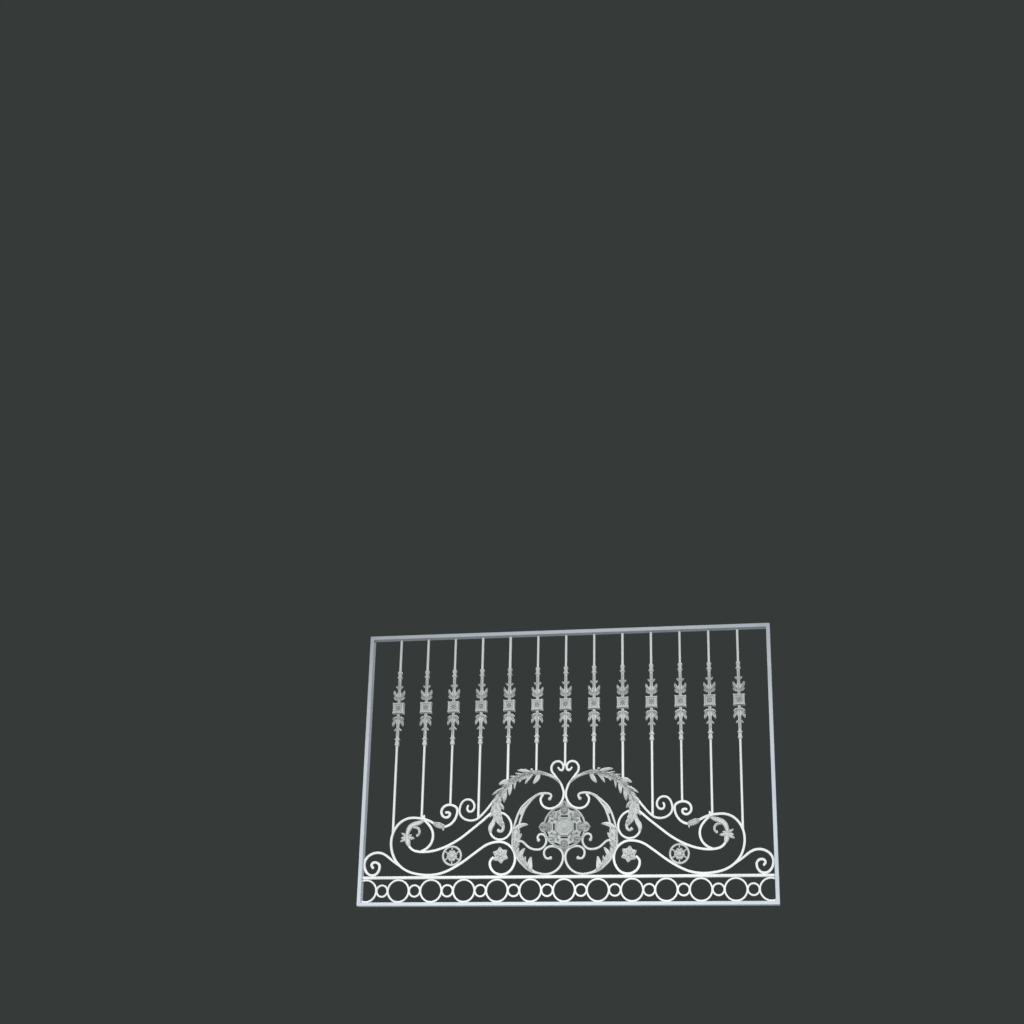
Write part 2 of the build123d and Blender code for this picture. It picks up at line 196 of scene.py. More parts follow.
def trace(stations: list[Station], steps: int = 10) -> list[Sample]:
    """Follows a smooth line through stations.

    Args:
        stations: Points with headings and widths.
        steps: Points worked out between two stations.

    Returns:
        Samples along the line.
    """
    points: list[Vector] = []
    halves: list[float] = []
    for start, end in zip(stations, stations[1:]):
        a, b = PANEL.place(start.across, start.up), PANEL.place(end.across, end.up)
        turn = math.radians((end.heading - start.heading + 180) % 360 - 180)
        reach = (b - a).length / math.cos(turn / 4) ** 2 / 3
        leave, arrive = heading_vector(start.heading), heading_vector(end.heading)
        piece = interpolate_bezier(a, a + leave * reach, b - arrive * reach, b, steps + 1)
        first = 1 if points else 0
        points += piece[first:]
        shares = [index / steps for index in range(first, steps + 1)]
        widths = [start.width + (end.width - start.width) * share for share in shares]
        halves += [width * PANEL.bar_width / 2 for width in widths]
    return sampled(points, smoothed(smoothed(halves)))


def smoothed(values: list[float], reach: int = 3) -> list[float]:
    """Averages every value with its neighbours.

    Args:
        values: The values.
        reach: How many neighbours count on either side.

    Returns:
        As many values as before.
    """
    windows = [values[max(index - reach, 0) : index + reach + 1] for index in range(len(values))]
    return [sum(window) / len(window) for window in windows]


def sampled(points: list[Vector], halves: list[float]) -> list[Sample]:
    """Gives every point of a line its tangent and its distance from the start.

    Args:
        points: The line's points.
        halves: Half its width at each point.

    Returns:
        Samples along the line.
    """
    samples = []
    run = 0.0
    for index, point in enumerate(points):
        before, after = points[max(index - 1, 0)], points[min(index + 1, len(points) - 1)]
        run += (point - before).length
        samples.append(Sample(point, (after - before).normalized(), halves[index], run))
    return samples


def resampled(samples: list[Sample]) -> list[Sample]:
    """A stretch of a line as a line of its own."""
    return sampled([sample.point for sample in samples], [sample.half for sample in samples])


def heading_vector(heading: float) -> Vector:
    """The unit vector in the panel's plane for a heading in degrees."""
    return Vector((math.cos(math.radians(heading)), 0, math.sin(math.radians(heading))))


def leftward(along: Vector) -> Vector:
    """The direction in the panel's plane that lies left of a tangent, seen from the front."""
    return Vector((-along.z, 0, along.x))


@dataclass(frozen=True)
class Relief:
    """How a closed cast form swells over its line, in metres and shares.

    Attributes:
        depth: Half thickness at the crown.
        ribs: Ridges on each half of the width.
        fluting: Share of the depth that the grooves take away.
        squareness: 2 for a round section, more for a flatter crown with rounder shoulders.
        close: Length over which an end rounds off.
        lift: How far the end of the line comes forward.
        columns: Faces across the width.
        rows: Faces along a leaf.
    """

    depth: float
    ribs: float = 1
    fluting: float = 0
    squareness: float = 2
    close: float = 0.005
    lift: float = 0
    columns: int = 10
    rows: int = 16

    def thickness(self, across: float) -> float:
        """Works out the half thickness of the form.

        Args:
            across: Place across the form, from -1 to 1.

        Returns:
            The half thickness in metres.
        """
        shell = max(0.0, 1 - abs(across) ** self.squareness) ** (1 / self.squareness)
        ridge = 0.5 + 0.5 * math.cos(2 * math.pi * self.ribs * across)
        return self.depth * shell * (1 - self.fluting * (1 - ridge))

    def over(self, model: BMesh, samples: list[Sample]) -> None:
        """Adds the form over a line to a mesh.

        Args:
            model: The mesh that gets the form.
            samples: The line.
        """
        length = samples[-1].run
        rows = len(samples) - 1
        part = bmesh.new()
        bmesh.ops.create_grid(part, x_segments=self.columns, y_segments=rows, size=1)
        for vert in part.verts:
            row = round((vert.co.y + 1) / 2 * rows)
            across = math.sin(vert.co.x * math.pi / 2)
            cap = self.cap(samples[row].run, length)
            vert.co = Vector((across, -self.thickness(across) * cap, row))
        close_behind(part)
        for vert in part.verts:
            across, depth, row = vert.co
            sample = samples[round(row)]
            aside = across * self.cap(sample.run, length) * sample.half
            forward = self.lift * (sample.run / length) ** 2
            vert.co = sample.point + leftward(sample.along) * aside + Vector((0, depth - forward, 0))
        bmesh.ops.remove_doubles(part, verts=part.verts, dist=MERGE * 10)
        bmesh.ops.recalc_face_normals(part, faces=part.faces)
        blend_in(model, part)

    def cap(self, run: float, length: float) -> float:
        """How open the form is at a distance along its line, from 0 at its ends to 1."""
        reach = min(1.0, max(0.0, min(run, length - run)) / self.close)
        return math.sqrt(max(0.0, 1 - (1 - reach) ** 2))


def close_behind(part: BMesh) -> None:
    """Adds the mirror image of a front face behind it and closes the seam."""
    geometry = part.verts[:] + part.edges[:] + part.faces[:]
    bmesh.ops.mirror(part, geom=geometry, matrix=Matrix.Identity(4), merge_dist=MERGE, axis="Y")


def blend_in(model: BMesh, part: BMesh) -> None:
    """Moves one mesh into another.

    Args:
        model: The mesh that gets the other.
        part: The mesh that is used up.
    """
    mesh = bpy.data.meshes.new("part")
    part.to_mesh(mesh)
    part.free()
    model.from_mesh(mesh)
    bpy.data.meshes.remove(mesh)


def leaf_samples(
    foot: Vector, tip: Vector, width: float, bow: float, steps: int = 16, point: float = PLAIN_LEAF_POINT
) -> list[Sample]:
    """The line of a leaf with a broad foot.

    Args:
        foot: Where the leaf starts.
        tip: Where it ends.
        width: Its width at the belly.
        bow: How far it bends to the left.
        steps: Points along it.
        point: Share of the width that it loses towards its tip.

    Returns:
        Samples along the leaf.
    """
    chord = tip - foot
    side = leftward(chord.normalized())
    points, halves = [], []
    for index in range(steps + 1):
        share = 0.5 - 0.5 * math.cos(math.pi * index / steps)
        points.append(foot + chord * share + side * bow * 4 * share * (1 - share))
        if share > LEAF_BELLY:
            swell = 1 - point * ((share - LEAF_BELLY) / (1 - LEAF_BELLY)) ** LEAF_FALL
        else:
            swell = LEAF_FOOT + (1 - LEAF_FOOT) * math.sin(math.pi / 2 * share / LEAF_BELLY)
        halves.append(width / 2 * swell)
    return sampled(points, halves)


def add_leaf(
    model: BMesh,
    foot: Vector,
    tip: Vector,
    width: float,
    bow: float,
    relief: Relief,
    point: float = PLAIN_LEAF_POINT,
) -> None:
    """Adds one cast leaf between two points.

    Args:
        model: The mesh that gets the leaf.
        foot: Where the leaf starts.
        tip: Where it ends.
        width: Its width at the belly.
        bow: How far it bends to the left.
        relief: Its form.
        point: Share of the width that it loses towards its tip.
    """
    relief.over(model, leaf_samples(foot, tip, width, bow, relief.rows, point))


def add_drawn_leaf(model: BMesh, leaf: Leaf, relief: Relief) -> None:
    """Adds one leaf of the drawing, with a rib count of its own.

    Args:
        model: The mesh that gets the leaf.
        leaf: The leaf.
        relief: Its form, without the ribs.
    """
    own = replace(relief, ribs=leaf.ribs)
    foot, tip = PANEL.place(*leaf.foot), PANEL.place(*leaf.tip)
    width, bow = leaf.width * PANEL.bar_width, leaf.bow * PANEL.bar_width
    add_leaf(model, foot, tip, width, bow, own, DRAWN_LEAF_POINT)


def add_reeds(model: BMesh, samples: list[Sample], shares: tuple, half: float, relief: Relief) -> None:
    """Adds ridges that run side by side along a line and close up where it narrows.

    Args:
        model: The mesh that gets the ridges.
        samples: The line.
        shares: Place of each ridge across the width, from -1 on the right to 1 on the left.
        half: Half width of a ridge.
        relief: The form of a ridge.
    """
    count = len(samples)
    taper = [REED_END + REED_GAIN * min(index, count - 1 - index) / count for index in range(count)]
    halves = [half * min(1.0, size) for size in taper]
    for share in shares:
        line = []
        for sample in samples:
            room = max(0.0, sample.half - half * REED_INSET)
            line.append(sample.point + leftward(sample.along) * share * room)
        relief.over(model, sampled(line, halves))


def add_feathers(model: BMesh, samples: list[Sample], row: FeatherRow, relief: Relief) -> None:
    """Adds a row of leaves that lie over one another along a line.

    Args:
        model: The mesh that gets the leaves.
        samples: The line.
        row: The row.
        relief: The form of a leaf.
    """
    for spot in row.spots:
        here, ahead = samples[spot], samples[min(max(spot + row.reach, 0), len(samples) - 1)]
        foot = here.point + leftward(here.along) * row.foot * here.half
        tip = ahead.point + leftward(ahead.along) * row.tip * ahead.half
        add_leaf(model, foot, tip, row.width * here.half, 0, relief, FEATHER_POINT)


def add_knob(model: BMesh, centre: Vector, knob: Knob, fineness: int = 3) -> None:
    """Adds a flattened or drawn-out knob.

    Args:
        model: The mesh that gets the knob.
        centre: Its middle.
        knob: Its measures.
        fineness: How often the ball's faces are divided.
    """
    part = bmesh.new()
    bmesh.ops.create_icosphere(part, subdivisions=fineness, radius=knob.radius)
    bmesh.ops.scale(part, vec=(1, knob.depth / knob.radius, 1), verts=part.verts)
    bmesh.ops.translate(part, vec=centre, verts=part.verts)
    blend_in(model, part)


def add_turned(
    model: BMesh,
    profile: list[tuple],
    place: Matrix,
    steps: int = 40,
    squareness: float = 2,
) -> None:
    """Adds a form turned about the upright axis and then put in place.

    Args:
        model: The mesh that gets the form.
        profile: Points of (radius, height), a closed outline or one that ends on the axis.
        place: Where the form goes and how it is turned.
        steps: Faces round the form.
        squareness: 2 for a round plan, more for a square one with soft corners.
    """
    part = bmesh.new()
    verts = [part.verts.new((radius, 0, height)) for radius, height in profile]
    edges = [part.edges.new(pair) for pair in zip(verts, verts[1:])]
    if profile[0][0] > MERGE and profile[-1][0] > MERGE:
        edges.append(part.edges.new((verts[-1], verts[0])))
    bmesh.ops.spin(
        part,
        geom=verts + edges,
        cent=(0, 0, 0),
        axis=(0, 0, 1),
        angle=math.tau,
        steps=steps,
        use_merge=True,
    )
    bmesh.ops.remove_doubles(part, verts=part.verts, dist=MERGE)
    for vert in part.verts:
        plan = vert.co.xy
        if squareness > 2 and plan.length > MERGE:
            across, along = (abs(value) / plan.length for value in plan)
            plan /= (across**squareness + along**squareness) ** (1 / squareness)
            vert.co = (*plan, vert.co.z)
    bmesh.ops.recalc_face_normals(part, faces=part.faces)
    bmesh.ops.transform(part, matrix=place, verts=part.verts)
    blend_in(model, part)


def facing(centre: Vector, turn: float = 0) -> Matrix:
    """Turns an upright form to face the front at a point."""
    tipped = Matrix.Rotation(math.pi / 2, 4, "X") @ Matrix.Rotation(math.radians(turn), 4, "Z")
    return Matrix.Translation(centre) @ tipped


def softened(profile: list[tuple], reach: float, most: float = 0.45) -> list[tuple]:
    """Rounds the corners of a profile between its ends.

    Args:
        profile: Points of the profile.
        reach: Distance from a corner at which its rounding starts.
        most: Largest share of a side that a rounding takes.

    Returns:
        Points of the rounded profile.
    """
    points = [Vector(point) for point in profile]
    soft = [points[0]]
    for before, corner, after in zip(points, points[1:], points[2:]):
        back, ahead = before - corner, after - corner
        start = corner + back.normalized() * min(reach, back.length * most)
        end = corner + ahead.normalized() * min(reach, ahead.length * most)
        soft += [start, (start + corner * 2 + end) / 4, end]
    return [tuple(point) for point in soft + [points[-1]]]


def add_input(tree: bpy.types.NodeTree, name: str, kind: str, default: object) -> None:
    """Adds a named input to a shader node group."""
    made = tree.interface.new_socket(name=name, in_out="INPUT", socket_type=kind)
    made.default_value = default


class NodeBoard:
    """Places and links nodes of a tree."""

    def __init__(self, tree: bpy.types.NodeTree) -> None:
        """Starts with an empty tree."""
        self.tree = tree
        tree.nodes.clear()

    def add(self, kind: str, values: dict | None = None, **settings: object) -> bpy.types.Node:
        """Adds a node.

        Args:
            kind: The node's type.
            values: Values of its inputs, or the outputs that are linked to them.
            settings: Its other settings.

        Returns:
            The node.
        """
        node = self.tree.nodes.new(kind)
        for name, value in settings.items():
            setattr(node, name, value)
        for name, value in (values or {}).items():
            if isinstance(value, NodeSocket):
                self.tree.links.new(value, node.inputs[name])
            else:
                node.inputs[name].default_value = value
        return node

    def blend(self, share: object, first: object, second: object) -> NodeSocket:
        """Mixes two colours by a share; the Mix node's colour inputs are 6 and 7, its output is 2."""
        return self.add("ShaderNodeMix", {0: share, 6: first, 7: second}, data_type="RGBA").outputs[2]

    def product(self, first: object, second: object, more: object = 0.0) -> NodeSocket:
        """Multiplies two values and adds a third."""
        values = {0: first, 1: second, 2: more}
        return self.add("ShaderNodeMath", values, operation="MULTIPLY_ADD").outputs[0]

    def noise(self, place: NodeSocket, scale: float, detail: float, rough: float) -> NodeSocket:
        """Adds a noise pattern and gives its value."""
        values = {"Vector": place, "Scale": scale, "Detail": detail, "Roughness": rough}
        return self.add("ShaderNodeTexNoise", values).outputs["Fac"]

    def ramp(self, value: NodeSocket, low: float, high: float) -> NodeSocket:
        """Spreads the values between low and high over 0 to 1."""
        node = self.add("ShaderNodeMapRange", {0: value, 1: low, 2: high}, interpolation_type="SMOOTHSTEP")
        return node.outputs[0]


@dataclass(frozen=True)
class PaintGroup:
    """The shared effect of old paint: mottling, upright runs and grain, with painted shade in hollows and
    a painted highlight on edges.

    Attributes:
        name: The group's name.
        edge_highlight_colour: Colour of the painted highlight on edges and tips.
        mottling: Scale, detail and roughness of the large pattern.
        mottle_range: Values of the large pattern between which the dirt film sets in.
        mottle_height: Share of the surface's height that the large pattern gives.
        grain: Scale, detail and roughness of the fine pattern.
        edge_range: Pointiness between which an edge counts.
        highlight_patch_range: Values of the fine pattern between which an edge takes the painted
            highlight.
        hollow_reach: How wide a hollow is that takes the painted shade, in metres.
        hollow_range: Openness at which the painted shade sets in and is full.
        run_stretch: Scale of the runs along X, Y and Z.
        run_pattern: Scale, detail and roughness of the runs.
        run_range: Values of the runs' pattern between which they show.
        run_strength: How strongly runs show.
        gloss: Least and most roughness of clean paint.
        hollow_roughness: Roughness that the hollows add.
    """

    name: str = "BrushedPaint"
    edge_highlight_colour: tuple = (0.9, 0.92, 0.92, 1)
    mottling: tuple = (9.0, 5.0, 0.6)
    mottle_range: tuple = (0.42, 0.72)
    mottle_height: float = 0.6
    grain: tuple = (260.0, 4.0, 0.65)
    edge_range: tuple = (0.53, 0.6)
    highlight_patch_range: tuple = (0.56, 0.66)
    hollow_reach: float = 0.012
    hollow_range: tuple = (0.86, 0.36)
    run_stretch: tuple = (90.0, 90.0, 14.0)
    run_pattern: tuple = (1.0, 3.0, 0.5)
    run_range: tuple = (0.56, 0.78)
    run_strength: float = 0.14
    gloss: tuple = (0.38, 0.58)
    hollow_roughness: float = 0.2

    def build(self) -> bpy.types.NodeTree:
        """Builds the group once.

        Returns:
            The group.
        """
        if self.name in bpy.data.node_groups:
            return bpy.data.node_groups[self.name]
        tree = bpy.data.node_groups.new(self.name, "ShaderNodeTree")
        add_input(tree, "Paint", "NodeSocketColor", (0.8, 0.8, 0.8, 1))
        add_input(tree, "Shade", "NodeSocketColor", (0.5, 0.5, 0.5, 1))
        for name in ("Hollow Shade", "Edge Highlight", "Grain", "Film"):
            add_input(tree, name, "NodeSocketFloat", 0.5)
        for name, kind in (("Color", "Color"), ("Roughness", "Float"), ("Height", "Float")):
            tree.interface.new_socket(name=name, in_out="OUTPUT", socket_type=f"NodeSocket{kind}")
        board = NodeBoard(tree)
        inputs = board.add("NodeGroupInput").outputs
        place = board.add("ShaderNodeTexCoord").outputs["Object"]
        mottle = board.noise(place, *self.mottling)
        fine = board.noise(place, *self.grain)
        # Painted shade: hollows found by ambient occlusion darken towards the Shade colour.
        hollow_shade_mask = board.product(self.crevice(board), inputs["Hollow Shade"])
        film = board.product(board.ramp(mottle, *self.mottle_range), inputs["Film"])
        aged = board.blend(film, inputs["Paint"], inputs["Shade"])
        runs = board.product(self.streaks(board, place), self.run_strength)
        streaked = board.blend(runs, aged, inputs["Shade"])
        hollow_shaded = board.blend(hollow_shade_mask, streaked, inputs["Shade"])
        # Painted highlight: edges and tips found by pointiness are lightened in patches.
        edge = board.ramp(board.add("ShaderNodeNewGeometry").outputs["Pointiness"], *self.edge_range)
        highlight_patches = board.product(edge, board.ramp(fine, *self.highlight_patch_range))
        final = board.blend(board.product(highlight_patches, inputs["Edge Highlight"]), hollow_shaded, self.edge_highlight_colour)
        least, most = self.gloss
        rough = board.add("ShaderNodeMapRange", {0: fine, 3: least, 4: most}).outputs[0]
        outputs = {
            "Color": final,
            "Roughness": board.product(hollow_shade_mask, self.hollow_roughness, rough),
            "Height": board.product(mottle, self.mottle_height, board.product(fine, inputs["Grain"])),
        }
        board.add("NodeGroupOutput", outputs)
        return tree

    def crevice(self, board: NodeBoard) -> NodeSocket:
        """Finds the hollows that take the painted shade.

        Args:
            board: The group's tree.

        Returns:
            One in narrow hollows and nought on open faces.
        """
        reach = {"Distance": self.hollow_reach}
        near = board.add("ShaderNodeAmbientOcclusion", reach, samples=6, only_local=True)
        return board.ramp(near.outputs["AO"], *self.hollow_range)

    def streaks(self, board: NodeBoard, place: NodeSocket) -> NodeSocket:
        """Makes upright runs of dirt.

        Args:
            board: The group's tree.
            place: The Object coordinates.

        Returns:
            One in a run and nought beside it.
        """
        values = {"Vector": place, "Scale": self.run_stretch}
        drawn_out = board.add("ShaderNodeMapping", values).outputs[0]
        return board.ramp(board.noise(drawn_out, *self.run_pattern), *self.run_range)


@dataclass(frozen=True)
class PaintFinish:
    """A painted metal finish.

    Attributes:
        name: The material's name.
        paint: Colour of clean paint.
        shade: Colour of the painted shade in hollows and of the thin dirt film and runs on faces.
        hollow_shade: How strongly the painted shade darkens hollows.
        edge_highlight: How strongly edges and tips take the painted highlight.
        grain: How coarse the surface is.
        bump: Height of the coarse surface in metres.
        film: How strongly thin dirt lies on faces.
        bump_strength: How strongly its height turns the light.
        coat: Weight of the gloss on top.
        coat_roughness: Roughness of that gloss.
    """

    name: str
    paint: tuple
    shade: tuple
    hollow_shade: float
    edge_highlight: float
    grain: float
    bump: float
    film: float = 0.16
    bump_strength: float = 0.6
    coat: float = 0.12
    coat_roughness: float = 0.35

    def build(self) -> bpy.types.Material:
        """Builds the material.

        Returns:
            The material.
        """
        material = bpy.data.materials.new(self.name)
        material.use_nodes = True
        board = NodeBoard(material.node_tree)
        values = {
            "Paint": (*self.paint, 1),
            "Shade": (*self.shade, 1),
            "Hollow Shade": self.hollow_shade,
            "Edge Highlight": self.edge_highlight,
            "Grain": self.grain,
            "Film": self.film,
        }
        effect = board.add("ShaderNodeGroup", values, node_tree=PaintGroup().build())
        relief = {
            "Height": effect.outputs["Height"],
            "Distance": self.bump,
            "Strength": self.bump_strength,
        }
        bump = board.add("ShaderNodeBump", relief)
        surface = board.add(
            "ShaderNodeBsdfPrincipled",
            {
                "Base Color": effect.outputs["Color"],
                "Roughness": effect.outputs["Roughness"],
                "Normal": bump.outputs[0],
                "Coat Weight": self.coat,
                "Coat Roughness": self.coat_roughness,
            },
        )
        board.add("ShaderNodeOutputMaterial", {"Surface": surface.outputs[0]})
        return material


class Paint(Enum):
    """The finishes: bars; greyer castings, flowers and rosette; a frame made bluish grey by painted shade
    and sky.
    """

    BARS = PaintFinish(
        "white_bar_paint",
        paint=(0.87, 0.89, 0.88),
        shade=(0.42, 0.45, 0.44),
        hollow_shade=0.55,
        edge_highlight=0.3,
        grain=0.5,
        bump=0.0003,
    )
    CASTINGS = PaintFinish(
        "white_cast_paint",
        paint=(0.7, 0.73, 0.71),
        shade=(0.13, 0.15, 0.14),
        hollow_shade=0.95,
        edge_highlight=0.9,
        grain=1.0,
        bump=0.0008,
        film=0.22,
    )
    FLOWERS = PaintFinish(
        "white_flower_paint",
        paint=(0.58, 0.61, 0.59),
        shade=(0.1, 0.11, 0.11),
        hollow_shade=1.0,
        edge_highlight=0.9,
        grain=1.0,
        bump=0.0008,
        film=0.32,
    )
    ROSETTE = PaintFinish(
        "white_rosette_paint",
        paint=(0.46, 0.49, 0.47),
        shade=(0.08, 0.09, 0.09),
        hollow_shade=1.0,
        edge_highlight=0.9,
        grain=1.0,
        bump=0.0008,
        film=0.45,
    )
    # The frame's white is darker and bluer than the bars': painted shade and painted sky reflection.
    FRAME = PaintFinish(
        "frame_white_with_painted_shade",
        paint=(0.64, 0.69, 0.75),
        shade=(0.4, 0.43, 0.47),
        hollow_shade=0.4,
        edge_highlight=0.2,
        grain=0.35,
        bump=0.0002,
    )


@dataclass
class Dresser:
    """Gives pieces their finish and shading.

    Attributes:
        sharp_angle: Angle in degrees over which a cast edge stays sharp.
        weld: How close vertices of a CAD mesh are when they are merged, in metres.
        flat_angle: Angle in degrees under which faces of a CAD mesh count as one.
        round_angle: Angle in degrees over which an edge of a CAD mesh is rounded.
        round_steps: Faces across a rounding.
        materials: The materials that are built so far, by their paint.
    """

    sharp_angle: float = 55
    weld: float = 1e-5
    flat_angle: float = 0.5
    round_angle: float = 40
    round_steps: int = 3
    materials: dict = field(default_factory=dict)

    def material(self, paint: Paint) -> bpy.types.Material:
        """Gives the material of a paint, which is built once.

        Args:
            paint: The paint.

        Returns:
            Its material.
        """
        if paint not in self.materials:
            self.materials[paint] = paint.value.build()
        return self.materials[paint]

    def finished(self, model: BMesh, name: str, paint: Paint, nodes: list[str]) -> None:
        """Makes a piece of a mesh that replaces CAD nodes or rides beside them.

        Args:
            model: The mesh, which is used up.
            name: The piece's name.
            paint: Its paint.
            nodes: CAD nodes that it stands for.
        """
        mesh = bpy.data.meshes.new(name)
        model.to_mesh(mesh)
        model.free()
        mesh.shade_smooth()
        mesh.set_sharp_from_angle(angle=math.radians(self.sharp_angle))
        mesh.materials.append(self.material(paint))
        piece = bpy.data.objects.new(name, mesh)
        bpy.context.scene.collection.objects.link(piece)
        even = piece.modifiers.new("even", "WEIGHTED_NORMAL")
        even.keep_sharp = True
        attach(piece, BODY)
        if nodes:
            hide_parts(*nodes)
        LOG.info("%s: %d faces", name, len(mesh.polygons))

    def dress_node(self, piece: bpy.types.Object, paint: Paint, edge: float) -> None:
        """Paints a CAD node and rounds its edges.

        Args:
            piece: The node's object.
            paint: Its paint.
            edge: Width of the rounding in metres.
        """
        piece.data.materials.clear()
        piece.data.materials.append(self.material(paint))
        weld = piece.modifiers.new("weld", "WELD")
        weld.merge_threshold = self.weld
        flats = piece.modifiers.new("flats", "DECIMATE")
        flats.decimate_type = "DISSOLVE"
        flats.angle_limit = math.radians(self.flat_angle)
        rounding = piece.modifiers.new("rounding", "BEVEL")
        rounding.width = edge
        rounding.segments = self.round_steps
        rounding.limit_method = "ANGLE"
        rounding.angle_limit = math.radians(self.round_angle)
        rounding.use_clamp_overlap = True
        even = piece.modifiers.new("even", "WEIGHTED_NORMAL")
        even.weight = 100


@dataclass
class ForgedWork:
    """Frame, rails, bars, rings and scrolls that keep their CAD shape."""

    dresser: Dresser
    frame_names: tuple = ("sill_rail", "head_rail", "left_stile", "right_stile")
    frame_edge: float = 0.0012
    bar_edge: float = 0.0028
    scroll_edge: float = 0.0036

    def dress(self, nodes: dict) -> None:
        """Paints and rounds every CAD node that still shows.

        Args:
            nodes: The CAD nodes' objects by their names.
        """
        for name, piece in nodes.items():
            if piece.hide_render:
                continue
            if name in self.frame_names:
                self.dresser.dress_node(piece, Paint.FRAME, self.frame_edge)
            elif name == "rosette":
                self.dresser.dress_node(piece, Paint.ROSETTE, self.frame_edge)
            elif name.startswith("bar_") or name == "ring_rail":
                self.dresser.dress_node(piece, Paint.BARS, self.bar_edge)
            else:
                self.dresser.dress_node(piece, Paint.BARS, self.scroll_edge)
            LOG.info("%s: painted", name)


@dataclass
class Garland:
    """The cast spray over the middle scrolls, with its sheaf, curl and strand."""

    dresser: Dresser
    stem: tuple = (
        Station(98.34, 78.85, 137),
        Station(94.27, 84.81, 150, 1.2),
        Station(88.91, 88.65, 165, 1.5),
        Station(84.09, 89.23, 188, 2),
        Station(79.27, 87.12, 202, 2),
        Station(73.92, 82.69, 210, 2.2),
        Station(70.06, 76.15, 236, 2.4),
        Station(67.49, 68.85, 244, 2.6),
        Station(65.88, 62.5, 258, 4.2),
        Station(66.2, 55.77, 275, 4.4),
        Station(67.06, 49.23, 292, 3.6),
        Station(68.77, 45, 308, 2.4),
        Station(69.74, 41.35, 270, 1.3),
        Station(68.34, 37.98, 180, 1.2),
        Station(67.38, 38.85, 140, 1.2),
    )
    strand: tuple = (
        Station(65.77, 53.85, 270, 1.8),
        Station(65.02, 47.31, 248, 1.7),
        Station(63.95, 43.46, 232, 2.4),
        Station(63.31, 39.62, 268, 1.8),
        Station(63.63, 36.54, 292, 1.2),
    )
    spray: tuple = (
        Leaf((83.56, 88.65), (76.16, 91.54), 1.8, -0.4),
        Leaf((80.13, 86.15), (74.99, 89.04), 1.2, -0.1),
        Leaf((77.34, 84.62), (72.52, 86.15), 1.3, -0.1),
        Leaf((72.42, 82.31), (67.06, 79.04), 2.2, -0.4),
        Leaf((69.42, 75.77), (63.85, 70), 1.4, -0.2),
        Leaf((87.2, 88.08), (84.2, 79.42), 2.2, 0.3),
        Leaf((83.99, 88.46), (80.24, 79.23), 1.5, -0.3),
        Leaf((78.41, 86.54), (77.24, 80.58), 1.5),
        Leaf((75.63, 84.62), (74.99, 74.62), 1.2, -0.2),
        Leaf((72.84, 81.73), (72.52, 69.42), 2.1),
        Leaf((69.63, 76.92), (69.74, 63.08), 2.6, 0.3, 1.5),
        Leaf((66.85, 63.46), (69.84, 56.73), 1.5, 0.3),
        Leaf((66.63, 54.81), (68.88, 50.77), 1.3, 0.2),
        Leaf((64.49, 54.81), (62.77, 50.38), 1.2),
    )
    husks: tuple = (
        Leaf((63.6, 62.6), (68.2, 72), 2.04, -0.42, 1),
        Leaf((63.4, 54.2), (64.9, 62.5), 1.44, -0.3, 1),
        Leaf((69.2, 57.5), (66.6, 68), 1.44, 0.24, 1),
        Leaf((71.5, 78), (77.5, 86), 1.56, -0.24, 1),
        Leaf((76.5, 83.5), (84.2, 88.3), 1.44, -0.24, 1),
        Leaf((82, 88.5), (89.5, 88.4), 1.32, 0.24, 1),
    )
    feather_rows: tuple = (
        FeatherRow(range(20, 62, 7), 10, 0.15, 1.25, 0.95),
        FeatherRow(range(60, 112, 7), 13, 0.2, 0.95, 0.95),
        FeatherRow(range(16, 62, 7), 10, -0.15, -1.25, 0.95),
        FeatherRow(range(56, 112, 7), 13, -0.2, -0.95, 0.95),
        FeatherRow(range(14, 112, 9), 12, 0, 0, 0.7),
    )
    neck: tuple = (2, 40)
    neck_reeds: tuple = (-0.8, 0.8)
    curl: tuple = (112, 134)
    curl_reeds: tuple = (-1, 0, 0.9)
    strand_reeds: tuple = (-1, 1)
    curl_knob: Knob = Knob(0.0078, 0.008)
    berry: tuple = (83.34, 91.92)
    berry_knob: Knob = Knob(0.0065, 0.0065)
    leaf_relief: Relief = Relief(0.0092, fluting=0.34, squareness=2.3, lift=0.0015, close=0.006)
    stem_relief: Relief = Relief(0.0056, squareness=2.6, columns=12)
    feather: Relief = Relief(0.009, fluting=0.3, squareness=2.2, lift=0.0022, close=0.006, columns=10)
    reed: Relief = Relief(0.0082, squareness=2, close=0.012, columns=6)
    reed_half: float = 0.0043

    def build(self) -> None:
        """Builds the left garland and mirrors it."""
        model = bmesh.new()
        samples = trace(list(self.stem))
        strand = trace(list(self.strand))
        self.stem_relief.over(model, samples)
        self.stem_relief.over(model, strand)
        add_reeds(model, samples[slice(*self.neck)], self.neck_reeds, self.reed_half, self.reed)
        for row in self.feather_rows:
            add_feathers(model, samples, row, self.feather)
        add_reeds(model, samples[slice(*self.curl)], self.curl_reeds, self.reed_half, self.reed)
        add_reeds(model, strand, self.strand_reeds, self.reed_half, self.reed)
        add_knob(model, samples[-1].point, self.curl_knob)
        add_knob(model, PANEL.place(*self.berry), self.berry_knob)
        for leaf in self.spray + self.husks:
            add_drawn_leaf(model, leaf, self.leaf_relief)
        both_sides(model, self.dresser, "garland", Paint.CASTINGS)


